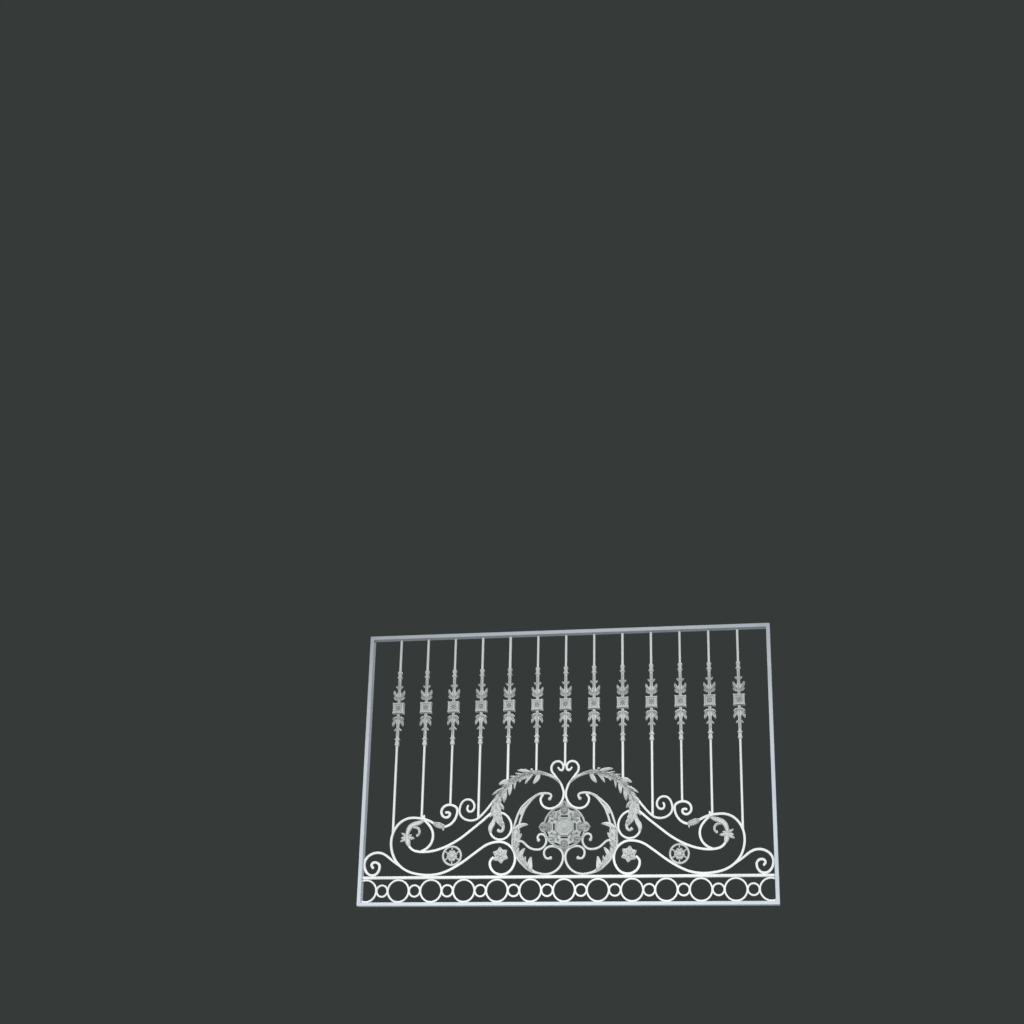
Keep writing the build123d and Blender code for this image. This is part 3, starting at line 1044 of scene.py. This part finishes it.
@dataclass
class Crescent:
    """The crescent of two scroll bars and a long cast leaf on either side of the rosette."""

    dresser: Dresser
    by_side: float = 50 * PANEL.bar_width / PANEL.inner_half
    on_foot: float = 50 * PANEL.bar_width / PANEL.scroll_height
    upper_turn: tuple = (
        Station(92.55, 65.96, 60),
        Station(93.3, 68.27, 90),
        Station(90.2, 70.96, 180),
        Station(86.02, 69.23, 208, 1.3),
        Station(83.56, 65.96, 219, 1.5),
        Station(81.41, 62.12, 226, 2),
        Station(79.59, 58.27, 234, 2.5),
        Station(78.09, 52.69, 247, 2.9),
        Station(77.02, 46.92, 253, 2.9),
        Station(76.16, 40.38, 260, 3.2),
        Station(76.16, 32.69, 270, 4.4),
        Station(75.84, 26.15, 273, 3.4),
        Station(76.49, 20.77, 292, 2.4),
        Station(78.09, 15.77, 304, 3.2),
        Station(79.81, 11.54, 312, 3),
        Station(82.81, 5.77, 322, 2),
        Station(85.91, 2.69, 344),
    )
    curl: tuple = (
        Station(76.7, 28.46, 24),
        Station(79.06, 29.23, 335),
        Station(82.49, 24.23, 325),
        Station(86.88, 22.02, 0),
        Station(91.16, 29.81, 90),
        Station(88.59, 35.38, 180),
        Station(86.88, 32.12, 270),
        Station(87.31, 30.19, 300),
    )
    fronds: tuple = (
        Leaf((75.2, 39.04), (82.06, 43.65), 2.1, 0.9),
        Leaf((76.91, 32.69), (77.88, 39.62), 1.3),
        Leaf((76.59, 30.77), (78.95, 36.35), 1.6, -0.2),
        Leaf((75.2, 21.15), (78.09, 26.35), 1.3, 0.4),
        Leaf((77.66, 13.46), (80.77, 23.46), 2.1, 0.4),
        Leaf((79.27, 8.65), (81.09, 16.54), 1.5, -0.2),
        Leaf((83.56, 3.46), (83.88, 15.96), 2.5, 0.5),
    )
    feather_rows: tuple = (
        FeatherRow(range(12, 71, 8), -11, -0.5, 1.05, 1.0),
        FeatherRow(range(8, 71, 8), -9, -0.6, 0.35, 0.8),
    )
    upper_bar: tuple = (0, 46)
    arms: tuple = (26, 100)
    web: tuple = (26, 72)
    body: tuple = (89, 160)
    lower_bar: tuple = (152, None)
    bar_relief: Relief = Relief(0.0051, ribs=0, squareness=4.5, close=0.004)
    frond_relief: Relief = Relief(0.0094, fluting=0.34, squareness=2.3, lift=0.0015, close=0.006)
    rim_relief: Relief = Relief(0.0068, squareness=3, close=0.008)
    web_relief: Relief = Relief(0.0032, squareness=3, close=0.016)
    body_relief: Relief = Relief(0.0038, squareness=3, close=0.012, columns=12)
    reed: Relief = Relief(0.008, close=0.014, columns=6)
    feather: Relief = Relief(0.0088, fluting=0.3, squareness=2.2, lift=0.002, close=0.006)
    bar_half: float = 0.0056
    reed_half: float = 0.0052
    knob: Knob = Knob(0.0079, 0.007)

    def build(self) -> None:
        """Builds the left crescent and mirrors it."""
        model = bmesh.new()
        samples = trace(list(self.upper_turn) + self.lower_turn())
        self.add_arms(model, samples)
        upper = samples[slice(*self.upper_bar)]
        halves = [min(sample.half, self.bar_half) for sample in upper]
        self.bar_relief.over(model, sampled([sample.point for sample in upper], halves))
        self.bar_relief.over(model, resampled(samples[slice(*self.lower_bar)]))
        curl = trace(list(self.curl))
        self.bar_relief.over(model, curl)
        for end in (samples[0], samples[-1], curl[-1]):
            add_knob(model, end.point, self.knob)
        for leaf in self.fronds:
            add_drawn_leaf(model, leaf, self.frond_relief)
        both_sides(model, self.dresser, "crescent", Paint.CASTINGS)

    def lower_turn(self) -> list[Station]:
        """Draws the bar from the leaf's foot round to the lower curl.

        Returns:
            The bar's stations.
        """
        return [
            Station(90.84, self.on_foot, 0),
            Station(100 - self.by_side, 15.77, 90),
            Station(93.95, 24.81, 180),
            Station(90.09, 19.23, 270),
            Station(92.13, 14.23, 0),
            Station(93.3, 14.81, 15),
        ]

    def add_arms(self, model: BMesh, samples: list[Sample]) -> None:
        """Adds two rims with a web between them, the slit below it and the feathered body.

        Args:
            model: The crescent's mesh.
            samples: The line of its long bar.
        """
        add_reeds(model, samples[slice(*self.arms)], (-1, 1), self.reed_half, self.rim_relief)
        self.web_relief.over(model, resampled(samples[slice(*self.web)]))
        body = resampled(samples[slice(*self.body)])
        self.body_relief.over(model, body)
        add_reeds(model, body, (-1,), self.reed_half, self.reed)
        for row in self.feather_rows:
            add_feathers(model, body, row, self.feather)


def both_sides(model: BMesh, dresser: Dresser, name: str, paint: Paint) -> None:
    """Finishes a left piece and its mirror image, which replace the nodes of those names.

    Args:
        model: The left piece's mesh.
        dresser: What gives the pieces their finish.
        name: The node's name without its side.
        paint: The paint.
    """
    other = bmesh.new()
    copy_with(model, other, Matrix.Scale(-1, 4, (1, 0, 0)))
    for side, half in zip(SIDES, (model, other)):
        node = f"{side}_{name}"
        dresser.finished(half, f"cast_{node}", paint, [node])


@dataclass
class Bud:
    """The petalled bud in the outer scroll, with its calyx, leaf band and curled tendril."""

    dresser: Dresser
    middle: tuple = (21.64, 33.65)
    band: tuple = (
        Station(30.42, 49.04, 200),
        Station(26.78, 46.15, 196, 2.2),
        Station(22.92, 42.69, 232, 2.2),
        Station(21.6, 34.4, 268, 1.8),
    )
    tendril: tuple = (
        Station(24, 42.69, 12, 1.4),
        Station(27.75, 38.46, 270),
        Station(26.67, 35.38, 200),
    )
    calyx: tuple = (
        Station(21.85, 33.85, 268, 1.6),
        Station(22.07, 30, 276, 2.6),
        Station(23.03, 25.77, 306),
    )
    petals: tuple = (
        Leaf((21.64, 34.62), (18.53, 37.69), 1.3),
        Leaf((21.64, 33.65), (18.43, 33.08), 1.6),
        Leaf((21.85, 33.08), (18.1, 30), 1.4),
        Leaf((21.85, 33.46), (25.5, 32.88), 1.5),
        Leaf((21.85, 34.23), (24, 35.96), 1.3),
    )
    petal_relief: Relief = Relief(0.0078, fluting=0.2, lift=0.002, close=0.005)
    band_relief: Relief = Relief(0.0064, squareness=2.6)
    reed: Relief = Relief(0.0082, close=0.01, columns=6)
    reed_half: float = 0.004
    tendril_knob: Knob = Knob(0.0062, 0.007)
    heart: Knob = Knob(0.0095, 0.0095)

    def build(self) -> None:
        """Builds the left bud and mirrors it."""
        model = bmesh.new()
        for line in (self.band, self.tendril, self.calyx):
            samples = trace(list(line))
            self.band_relief.over(model, samples)
            add_reeds(model, samples, (-1, 1), self.reed_half, self.reed)
        end = self.tendril[-1]
        add_knob(model, PANEL.place(end.across, end.up), self.tendril_knob)
        for petal in self.petals:
            add_drawn_leaf(model, petal, self.petal_relief)
        add_knob(model, PANEL.place(*self.middle), self.heart)
        both_sides(model, self.dresser, "bud", Paint.CASTINGS)


@dataclass
class Bract:
    """The ribbed leaf sleeve on the neck of the main scroll."""

    dresser: Dresser
    sleeve: tuple = (
        Station(40.71, 43.08, 186),
        Station(38.99, 43.27, 172, 2.4),
        Station(36.64, 44.62, 164, 2.6),
        Station(34.49, 46.15, 156, 1.3),
    )
    spur: Leaf = Leaf((39.74, 42.31), (39.74, 39.04), 0.9)
    relief: Relief = Relief(0.008, squareness=2.6, close=0.008, columns=12)
    spur_relief: Relief = Relief(0.006)
    reed: Relief = Relief(0.0098, close=0.01, columns=6)
    reed_half: float = 0.004
    reeds: tuple = (-1, -0.35, 0.35, 1)

    def build(self) -> None:
        """Builds the left bract and mirrors it."""
        model = bmesh.new()
        samples = trace(list(self.sleeve))
        self.relief.over(model, samples)
        add_reeds(model, samples, self.reeds, self.reed_half, self.reed)
        add_drawn_leaf(model, self.spur, self.spur_relief)
        both_sides(model, self.dresser, "bract", Paint.CASTINGS)


@dataclass
class StarFlower:
    """The six-pointed cast flower at the end of the main scroll."""

    dresser: Dresser
    middle: tuple = (68.67, 17.5)
    points: int = 6
    length: float = 0.0385
    width: float = 0.031
    overlap: float = 0.004
    turn: float = 37
    point: float = 0.95
    sepal_length: float = 0.0285
    sepal_width: float = 0.021
    pip_reach: float = 0.0165
    pip: Knob = Knob(0.0035, 0.0095)
    boss: tuple = ((0, 0.011), (0.0045, 0.0105), (0.008, 0.008), (0.0095, 0), (0, 0))
    relief: Relief = Relief(0.0072, fluting=0.4, lift=0.001, close=0.006, columns=12)
    sepal_relief: Relief = Relief(0.0055, fluting=0.3)

    def build(self) -> None:
        """Builds the left star flower and mirrors it."""
        model = bmesh.new()
        centre = PANEL.place(*self.middle)
        for index in range(self.points):
            outward = heading_vector(self.turn + 360 * index / self.points)
            between = heading_vector(self.turn + 360 * (index + 0.5) / self.points)
            foot, tip = centre - outward * self.overlap, centre + outward * self.length
            add_leaf(model, foot, tip, self.width, 0, self.relief, self.point)
            tip = centre + between * self.sepal_length
            add_leaf(model, centre, tip, self.sepal_width, 0, self.sepal_relief)
            add_knob(model, centre + between * self.pip_reach, self.pip)
        add_turned(model, list(self.boss), facing(centre))
        both_sides(model, self.dresser, "star_flower", Paint.FLOWERS)


@dataclass
class FlowerRing:
    """A ring that holds a cast flower on six spokes."""

    dresser: Dresser
    middle: tuple = (44.56, 17.4)
    outer: float = 0.04625
    wall: float = 0.0095
    depth: float = 0.006
    section: int = 16
    corner: float = 0.45
    ring_steps: int = 72
    boss_steps: int = 48
    spokes: int = 6
    spoke_reach: tuple = (0.024, 0.04325)
    spoke_width: float = 0.0075
    petals: int = 8
    petal_reach: tuple = (0.006, 0.027)
    petal_width: float = 0.0185
    spoke_relief: Relief = Relief(0.0055, ribs=0, squareness=2.5, close=0.003)
    petal_relief: Relief = Relief(0.0062, fluting=0.4, lift=0.0015, close=0.006, columns=12)
    boss: tuple = (
        (0, 0.0105),
        (0.004, 0.0102),
        (0.006, 0.0085),
        (0.0085, 0.0088),
        (0.0105, 0.0075),
        (0.0115, 0.004),
        (0, 0),
    )

    def build(self) -> None:
        """Builds the left flower ring and mirrors it."""
        model = bmesh.new()
        centre = PANEL.place(*self.middle)
        add_turned(model, self.ring_profile(), facing(centre), steps=self.ring_steps)
        spoke = (self.spoke_reach, self.spoke_width, self.spoke_relief)
        self.add_around(model, centre, self.spokes, spoke)
        petal = (self.petal_reach, self.petal_width, self.petal_relief)
        self.add_around(model, centre, self.petals, petal)
        add_turned(model, list(self.boss), facing(centre), steps=self.boss_steps)
        both_sides(model, self.dresser, "flower_ring", Paint.FLOWERS)

    def add_around(self, model: BMesh, centre: Vector, count: int, shape: tuple) -> None:
        """Adds leaves that stand out all round the middle.

        Args:
            model: The mesh that gets them.
            centre: The flower's middle.
            count: How many there are.
            shape: Reach of foot and tip, width and relief of one.
        """
        (start, end), width, relief = shape
        for index in range(count):
            outward = heading_vector(360 * (index + 0.5) / count)
            add_leaf(model, centre + outward * start, centre + outward * end, width, 0, relief)

    def ring_profile(self) -> list[tuple]:
        """Draws the rounded section of the ring.

        Returns:
            Points of (radius, depth).
        """
        middle, half = self.outer - self.wall / 2, self.wall / 2
        points = []
        for index in range(self.section):
            angle = math.tau * index / self.section
            across, depth = math.cos(angle), math.sin(angle)
            grow = 1 / max(abs(across), abs(depth)) ** self.corner
            across, depth = (min(1.0, max(-1.0, value * grow)) for value in (across, depth))
            points.append((middle + half * across, self.depth * depth))
        return points


@dataclass
class RosetteCarving:
    """The relief on the pierced medallion: rim, leaves, ring, beads and boss."""

    dresser: Dresser
    up: float = 41.35
    rim: tuple = (
        (0.0885, 0.0),
        (0.0885, 0.0072),
        (0.0905, 0.0086),
        (0.094, 0.009),
        (0.0965, 0.0078),
        (0.0972, 0.0),
    )
    ring: tuple = (
        (0.0365, 0.0),
        (0.0365, 0.0095),
        (0.0385, 0.0118),
        (0.0418, 0.0118),
        (0.0438, 0.0095),
        (0.0438, 0.0),
    )
    step: tuple = (
        (0.0, 0.0112),
        (0.0215, 0.0112),
        (0.0245, 0.0125),
        (0.0275, 0.0108),
        (0.0275, 0.0),
    )
    boss: tuple = (
        (0.0, 0.0165),
        (0.006, 0.0162),
        (0.011, 0.0152),
        (0.0142, 0.0128),
        (0.0148, 0.009),
        (0.0148, 0.0),
    )
    eye: tuple = (
        (0.0018, 0.0),
        (0.0018, 0.0085),
        (0.003, 0.0102),
        (0.0044, 0.0095),
        (0.0052, 0.0075),
        (0.0052, 0.0),
    )
    eyes: tuple = ((0.0475, 45), (0.0635, 27), (0.0635, 63), (0.074, 45))
    eye_steps: int = 16
    rim_steps: int = 96
    sides: int = 8
    side_turn: float = 22.5
    leaf_foot: float = 0.055
    leaf_tip: float = 0.1185
    leaf_widths: tuple = (0.046, 0.036)
    leaf_point: float = 0.93
    leaf_steps: int = 24
    leaf_relief: Relief = Relief(0.0088, squareness=2.6, close=0.008, columns=12)
    rib_reach: tuple = (0.056, 0.1155)
    rib_width: float = 0.0075
    rib_point: float = 0.8
    rib_relief: Relief = Relief(0.0124, close=0.008, columns=8)
    veins: FeatherRow = FeatherRow(range(2, 17, 3), 6, 0.15, 1.0, 0.7)
    vein_relief: Relief = Relief(0.0108, fluting=0.3, squareness=2.2, close=0.005)
    flank: RayLeaf = RayLeaf(0.056, 0, 0.087, 13, 0.013, -0.002)
    flank_relief: Relief = Relief(0.0092, fluting=0.3, close=0.005)
    lobe: RayLeaf = RayLeaf(0.046, 0, 0.0885, 0, 0.026)
    lobe_relief: Relief = Relief(0.0112, fluting=0.4, squareness=2.3, close=0.006, columns=12)
    side_lobes: tuple = (
        RayLeaf(0.05, 0, 0.077, 20, 0.015, 0.003),
        RayLeaf(0.066, 0, 0.09, 11.5, 0.012, 0.002),
    )
    side_relief: Relief = Relief(0.0096, fluting=0.4, close=0.005)
    scallops: int = 40
    scallop: RayLeaf = RayLeaf(0.0865, 0, 0.0955, 0, 0.0078)
    scallop_relief: Relief = Relief(0.0103, squareness=2, close=0.003, columns=6, rows=8)

    def build(self) -> None:
        """Builds the carving, which lies on the medallion's plate."""
        model = bmesh.new()
        self.add_rings(model)
        for index in range(4):
            self.add_pointed_leaf(model, 90 * index, self.leaf_widths[index % 2])
            self.add_foliage(model, 90 * index + 45)
            for reach, lean in self.eyes:
                place = facing(self.spot(reach, 90 * index + lean))
                add_turned(model, both_faces(self.eye), place, steps=self.eye_steps)
        for index in range(self.scallops):
            heading = 360 * (index + 0.5) / self.scallops
            self.add_lobe(model, heading, 1, self.scallop, self.scallop_relief)
        self.dresser.finished(model, "rosette_carving", Paint.ROSETTE, [])

    def spot(self, reach: float, heading: float) -> Vector:
        """A point at a distance and heading from the rosette's middle."""
        return PANEL.place(100, self.up) + heading_vector(heading) * reach

    def add_rings(self, model: BMesh) -> None:
        """Adds the rim, the eight-sided ring, the eight-sided step and the round boss.

        Args:
            model: The carving's mesh.
        """
        round_place, turned_place = facing(self.spot(0, 0)), facing(self.spot(0, 0), self.side_turn)
        add_turned(model, both_faces(self.rim), round_place, steps=self.rim_steps)
        add_turned(model, both_faces(self.ring), turned_place, steps=self.sides)
        add_turned(model, both_faces(self.step), turned_place, steps=self.sides)
        add_turned(model, both_faces(self.boss), round_place)

    def add_lobe(self, model: BMesh, heading: float, side: int, leaf: RayLeaf, relief: Relief) -> None:
        """Adds a leaf that is drawn from the rosette's middle.

        Args:
            model: The carving's mesh.
            heading: The heading that it leans away from.
            side: 1, or -1 for the mirror image.
            leaf: The leaf.
            relief: Its form.
        """
        foot = self.spot(leaf.foot, heading + side * leaf.foot_lean)
        tip = self.spot(leaf.tip, heading + side * leaf.tip_lean)
        add_leaf(model, foot, tip, leaf.width, side * leaf.bow, relief)

    def add_foliage(self, model: BMesh, heading: float) -> None:
        """Adds the leaves that fill the plate between two pointed leaves.

        Args:
            model: The carving's mesh.
            heading: Where the middle leaf points.
        """
        self.add_lobe(model, heading, 1, self.lobe, self.lobe_relief)
        for side in (-1, 1):
            for leaf in self.side_lobes:
                self.add_lobe(model, heading, side, leaf, self.side_relief)

    def add_pointed_leaf(self, model: BMesh, heading: float, width: float) -> None:
        """Adds a leaf with a midrib and side veins that points out over the rim.

        Args:
            model: The carving's mesh.
            heading: Where it points.
            width: Its width.
        """
        foot, tip = self.spot(self.leaf_foot, heading), self.spot(self.leaf_tip, heading)
        line = leaf_samples(foot, tip, width, 0, self.leaf_steps, self.leaf_point)
        self.leaf_relief.over(model, line)
        start, end = (self.spot(reach, heading) for reach in self.rib_reach)
        add_leaf(model, start, end, self.rib_width, 0, self.rib_relief, self.rib_point)
        for side in (-1, 1):
            row = self.veins._replace(foot=side * self.veins.foot, tip=side * self.veins.tip)
            add_feathers(model, line, row, self.vein_relief)
            self.add_lobe(model, heading, side, self.flank, self.flank_relief)


def both_faces(profile: tuple) -> list[tuple]:
    """Closes a front profile of (radius, depth) with its mirror image behind."""
    behind = [(radius, -depth) for radius, depth in reversed(profile) if depth > 0]
    return list(profile) + behind


@dataclass
class BarCasting:
    """The casting on an upright bar: block, palmettes, small leaves and collars."""

    dresser: Dresser
    half_block: float = 0.025
    half_length: float = 0.18
    block_rise: float = 0.0245
    flare: float = 0.0025
    collar: tuple = (
        (0.27, 0.111),
        (0.27, 0.79),
        (0.47, 0.818),
        (0.47, 0.838),
        (0.3, 0.856),
        (0.3, 0.885),
        (0.4, 0.95),
        (0.4, 0.978),
        (0.3, 1.0),
    )
    core: tuple = (
        (0.15, 0.3),
        (0.215, 0.32),
        (0.25, 0.5),
        (0.3, 0.62),
        (0.36, 0.5),
        (0.42, 0.36),
        (0.5, 0.3),
    )
    lobes: tuple = (
        CastLobe((0.08, 0.245), (1.08, 0.305), 0.56, -0.12),
        CastLobe((0.12, 0.26), (0.96, 0.385), 0.58, -0.08),
        CastLobe((0.16, 0.27), (1.0, 0.478), 0.64, -0.16),
    )
    pair: CastLobe = CastLobe((0, 0.53), (0.72, 0.595), 0.46)
    tip_point: float = 0.74
    rib: tuple = (0.16, 0.77)
    rib_width: float = 0.0085
    softening: float = 0.0009
    collar_steps: int = 24
    collar_squareness: float = 6
    block_steps: int = 24
    core_relief: Relief = Relief(0.0074, squareness=3, close=0.004, columns=12)
    lobe_relief: Relief = Relief(0.0098, fluting=0.42, squareness=2.2, close=0.004, lift=0.0015, rows=12)
    pair_relief: Relief = Relief(0.0078, fluting=0.34, close=0.003, lift=0.001, columns=8, rows=8)
    rib_relief: Relief = Relief(0.0112, close=0.006, columns=6)
    wall_share: float = 0.07
    corner_rise: float = 0.002
    face: float = 0.0148
    border: tuple = (0.0022, 0.84, 0.13)
    field_edge: float = 0.76
    field_slope: float = 0.08
    field_depth: float = 0.0036
    petals: int = 8
    petal_foot: float = 0.003
    petal_reaches: tuple = (0.015675, 0.018975)
    petal_width: float = 0.0108
    petal_point: float = 0.8
    petal_relief: Relief = Relief(0.0152, fluting=0.12, close=0.003, columns=6, rows=6)
    flower_knob: Knob = Knob(0.0048, 0.0168)

    def build(self) -> None:
        """Builds one casting and sets it on every bar."""
        model = bmesh.new()
        half = bmesh.new()
        self.add_collar(half)
        self.add_leaves(half)
        copy_with(half, model, Matrix.Identity(4))
        copy_with(half, model, Matrix.Scale(-1, 4, (0, 0, 1)))
        half.free()
        self.add_block(model)
        whole = bmesh.new()
        for across in PANEL.bar_positions():
            copy_with(model, whole, Matrix.Translation((across, 0, PANEL.casting_height)))
        model.free()
        self.dresser.finished(whole, "cast_bar_castings", Paint.CASTINGS, ["bar_castings"])

    def spot(self, reach: float, rise: float) -> Vector:
        """A point of the casting beside and above its middle."""
        return Vector((reach * self.half_block, 0, rise * self.half_length))

    def add_collar(self, model: BMesh) -> None:
        """Adds the square-plan neck, disc and bell.

        Args:
            model: The mesh of the casting's upper half.
        """
        outline = [(reach * self.half_block, rise * self.half_length) for reach, rise in self.collar]
        closed = [(0, outline[0][1])] + outline + [(0, outline[-1][1])]
        profile = softened(closed, self.softening)
        add_turned(model, profile, Matrix.Identity(4), self.collar_steps, self.collar_squareness)

    def add_leaves(self, model: BMesh) -> None:
        """Adds the palmette that opens from the block, the small pair above it and the rib.

        Args:
            model: The mesh of the casting's upper half.
        """
        line = [self.spot(0, rise) for rise, _ in self.core]
        halves = [reach * self.half_block for _, reach in self.core]
        self.core_relief.over(model, sampled(line, halves))
        for side in (1, -1):
            for lobe in self.lobes:
                self.add_lobe(model, side, lobe, self.lobe_relief)
            self.add_lobe(model, side, self.pair, self.pair_relief)
        start, end = (self.spot(0, rise) for rise in self.rib)
        add_leaf(model, start, end, self.rib_width, 0, self.rib_relief)

    def add_lobe(self, model: BMesh, side: int, lobe: CastLobe, relief: Relief) -> None:
        """Adds one leaf of the palmette or of the pair above it.

        Args:
            model: The mesh of the casting's upper half.
            side: 1, or -1 for the mirror image.
            lobe: The leaf.
            relief: Its form.
        """
        foot, tip = (self.spot(side * across, up) for across, up in (lobe.foot, lobe.tip))
        width, bow = lobe.width * self.half_block, side * lobe.bow * self.half_block
        add_leaf(model, foot, tip, width, bow, relief, self.tip_point)

    def add_block(self, model: BMesh) -> None:
        """Adds the block with flared corners and a framed panel on both faces.

        Args:
            model: The casting's mesh.
        """
        part = bmesh.new()
        bmesh.ops.create_grid(part, x_segments=self.block_steps, y_segments=self.block_steps, size=1)
        for vert in part.verts:
            edge = max(abs(vert.co.x), abs(vert.co.y))
            wall = min(1.0, (1 - edge) / self.wall_share)
            spots = (value / (1 - self.wall_share) for value in vert.co.xy)
            across, rise = (max(-1.0, min(1.0, spot)) for spot in spots)
            x = across * (self.half_block + self.flare * rise**4)
            z = rise * (self.block_rise + self.corner_rise * across**4)
            vert.co = Vector((x, -self.panel_depth(across, rise) * math.sqrt(wall), z))
        close_behind(part)
        bmesh.ops.recalc_face_normals(part, faces=part.faces)
        blend_in(model, part)
        self.add_flower(model)

    def add_flower(self, model: BMesh) -> None:
        """Adds the flower that fills the panel on both faces.

        Args:
            model: The casting's mesh.
        """
        for index in range(self.petals):
            outward = heading_vector(360 * index / self.petals)
            foot, tip = outward * self.petal_foot, outward * self.petal_reaches[index % 2]
            add_leaf(model, foot, tip, self.petal_width, 0, self.petal_relief, self.petal_point)
        add_knob(model, Vector(), self.flower_knob, fineness=2)

    def panel_depth(self, across: float, rise: float) -> float:
        """Works out half the thickness of the block: a raised border round a sunk field.

        Args:
            across: Place across the face, from -1 to 1.
            rise: Place up the face, from -1 to 1.

        Returns:
            The half thickness in metres.
        """
        edge = max(abs(across), abs(rise))
        height, middle, half = self.border
        field_share = min(1.0, max(0.0, (self.field_edge - edge) / self.field_slope))
        return self.face + height * bump(edge, middle, half) - self.field_depth * field_share


def bump(value: float, middle: float, half: float) -> float:
    """A smooth swelling of height 1 round a middle value."""
    away = abs(value - middle) / half
    return 0.5 + 0.5 * math.cos(math.pi * away) if away < 1 else 0.0


def copy_with(source: BMesh, target: BMesh, matrix: Matrix) -> None:
    """Adds a moved or mirrored copy of one mesh to another.

    Args:
        source: The mesh that is copied.
        target: The mesh that gets the copy.
        matrix: How the copy is moved or mirrored.
    """
    mesh = bpy.data.meshes.new("copy")
    source.to_mesh(mesh)
    part = bmesh.new()
    part.from_mesh(mesh)
    bpy.data.meshes.remove(mesh)
    bmesh.ops.transform(part, matrix=matrix, verts=part.verts)
    if matrix.determinant() < 0:
        bmesh.ops.reverse_faces(part, faces=part.faces)
    blend_in(target, part)


@dataclass
class Studio:
    """Camera, lamps, world and floor."""

    camera_place: tuple = (1.175, -7.269, -0.935)
    camera_turn: tuple = (110.805, -1.183, 10.819)
    lens: float = 57.22
    sensor: float = 36
    floor_height: float = -1.3
    floor_half: float = 40
    floor_roughness: float = 0.9
    floor_colour: tuple = (0.55, 0.55, 0.54)
    floor_seen: tuple = (0.86, 0.86, 0.85)
    backdrop: tuple = (0.037, 0.042, 0.041)
    sky: tuple = (0.86, 0.94, 1.0)
    sky_strength: float = 0.2
    aim: tuple = (0.0, 0.0, -0.62)
    lamp_spread: float = 56
    lamps: tuple = (
        ("key_lamp", (1.6, -4.4, 2.2), 2.0, 21.5),
        ("fill_lamp", (-2.0, -4.4, 1.3), 2.0, 14),
        ("back_lamp", (0.0, 4.0, 2.6), 3.0, 20),
    )

    def build(self) -> None:
        """Builds the studio."""
        self.add_camera()
        self.add_world()
        self.add_floor()
        for lamp in self.lamps:
            self.add_lamp(*lamp)

    def add_camera(self) -> None:
        """Adds the camera at the photograph's place."""
        data = bpy.data.cameras.new("camera")
        data.lens = self.lens
        data.sensor_width = self.sensor
        camera = bpy.data.objects.new("camera", data)
        camera.location = self.camera_place
        camera.rotation_euler = [math.radians(value) for value in self.camera_turn]
        bpy.context.scene.collection.objects.link(camera)
        bpy.context.scene.camera = camera

    def add_world(self) -> None:
        """Adds soft light from all sides, with a plain backdrop where the camera looks."""
        world = bpy.data.worlds.new("studio")
        bpy.context.scene.world = world
        world.use_nodes = True
        board = NodeBoard(world.node_tree)
        light = board.add("ShaderNodeBackground", {"Color": (*self.sky, 1), "Strength": self.sky_strength})
        seen = board.add("ShaderNodeBackground", {"Color": (*self.backdrop, 1), "Strength": 1.0})
        shaders = {0: self.seen_share(board), 1: light.outputs[0], 2: seen.outputs[0]}
        mix = board.add("ShaderNodeMixShader", shaders)
        board.add("ShaderNodeOutputWorld", {"Surface": mix.outputs[0]})

    def seen_share(self, board: NodeBoard) -> NodeSocket:
        """Tells what is seen from what only lights the grille.

        Args:
            board: The tree that needs to know.

        Returns:
            One for what the camera sees, straight or in a shine, and nought for light.
        """
        path = board.add("ShaderNodeLightPath")
        share = path.outputs["Is Camera Ray"]
        for ray in ("Is Glossy Ray", "Is Transmission Ray"):
            rays = {0: share, 1: path.outputs[ray]}
            share = board.add("ShaderNodeMath", rays, operation="MAXIMUM").outputs[0]
        return share

    def add_floor(self) -> None:
        """Adds the pale floor, which lies below the camera."""
        plane = bmesh.new()
        bmesh.ops.create_grid(plane, x_segments=1, y_segments=1, size=self.floor_half)
        bmesh.ops.translate(plane, vec=(0, 0, self.floor_height), verts=plane.verts)
        mesh = bpy.data.meshes.new("floor")
        plane.to_mesh(mesh)
        plane.free()
        material = bpy.data.materials.new("floor_matt")
        material.use_nodes = True
        board = NodeBoard(material.node_tree)
        colour = board.blend(self.seen_share(board), (*self.floor_colour, 1), (*self.floor_seen, 1))
        values = {"Base Color": colour, "Roughness": self.floor_roughness}
        surface = board.add("ShaderNodeBsdfPrincipled", values)
        board.add("ShaderNodeOutputMaterial", {"Surface": surface.outputs[0]})
        mesh.materials.append(material)
        floor = bpy.data.objects.new("floor", mesh)
        bpy.context.scene.collection.objects.link(floor)

    def add_lamp(self, name: str, place: tuple, size: float, power: float) -> None:
        """Adds a large soft lamp.

        Args:
            name: The lamp's name.
            place: Where it hangs.
            size: Length of its sides in metres.
            power: Its power in watts.
        """
        data = bpy.data.lights.new(name, "AREA")
        data.shape = "SQUARE"
        data.size = size
        data.energy = power
        data.spread = math.radians(self.lamp_spread)
        lamp = bpy.data.objects.new(name, data)
        lamp.location = place
        lamp.visible_camera = False
        lamp.rotation_euler = (Vector(self.aim) - Vector(place)).to_track_quat("-Z", "Y").to_euler()
        bpy.context.scene.collection.objects.link(lamp)


def main() -> None:
    """Builds the dressed grille."""
    logging.basicConfig(level=logging.INFO, format="%(name)s: %(message)s")
    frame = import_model()
    bpy.context.scene.view_settings.view_transform = "Standard"
    dresser = Dresser()
    leaves: list[Callable] = [Garland, Crescent, Bud, Bract]
    ornaments: list[Callable] = [StarFlower, FlowerRing, RosetteCarving, BarCasting]
    for maker in leaves + ornaments:
        maker(dresser).build()
    ForgedWork(dresser).dress(frame["nodes"])
    Studio().build()


if __name__ == "__main__":
    main()
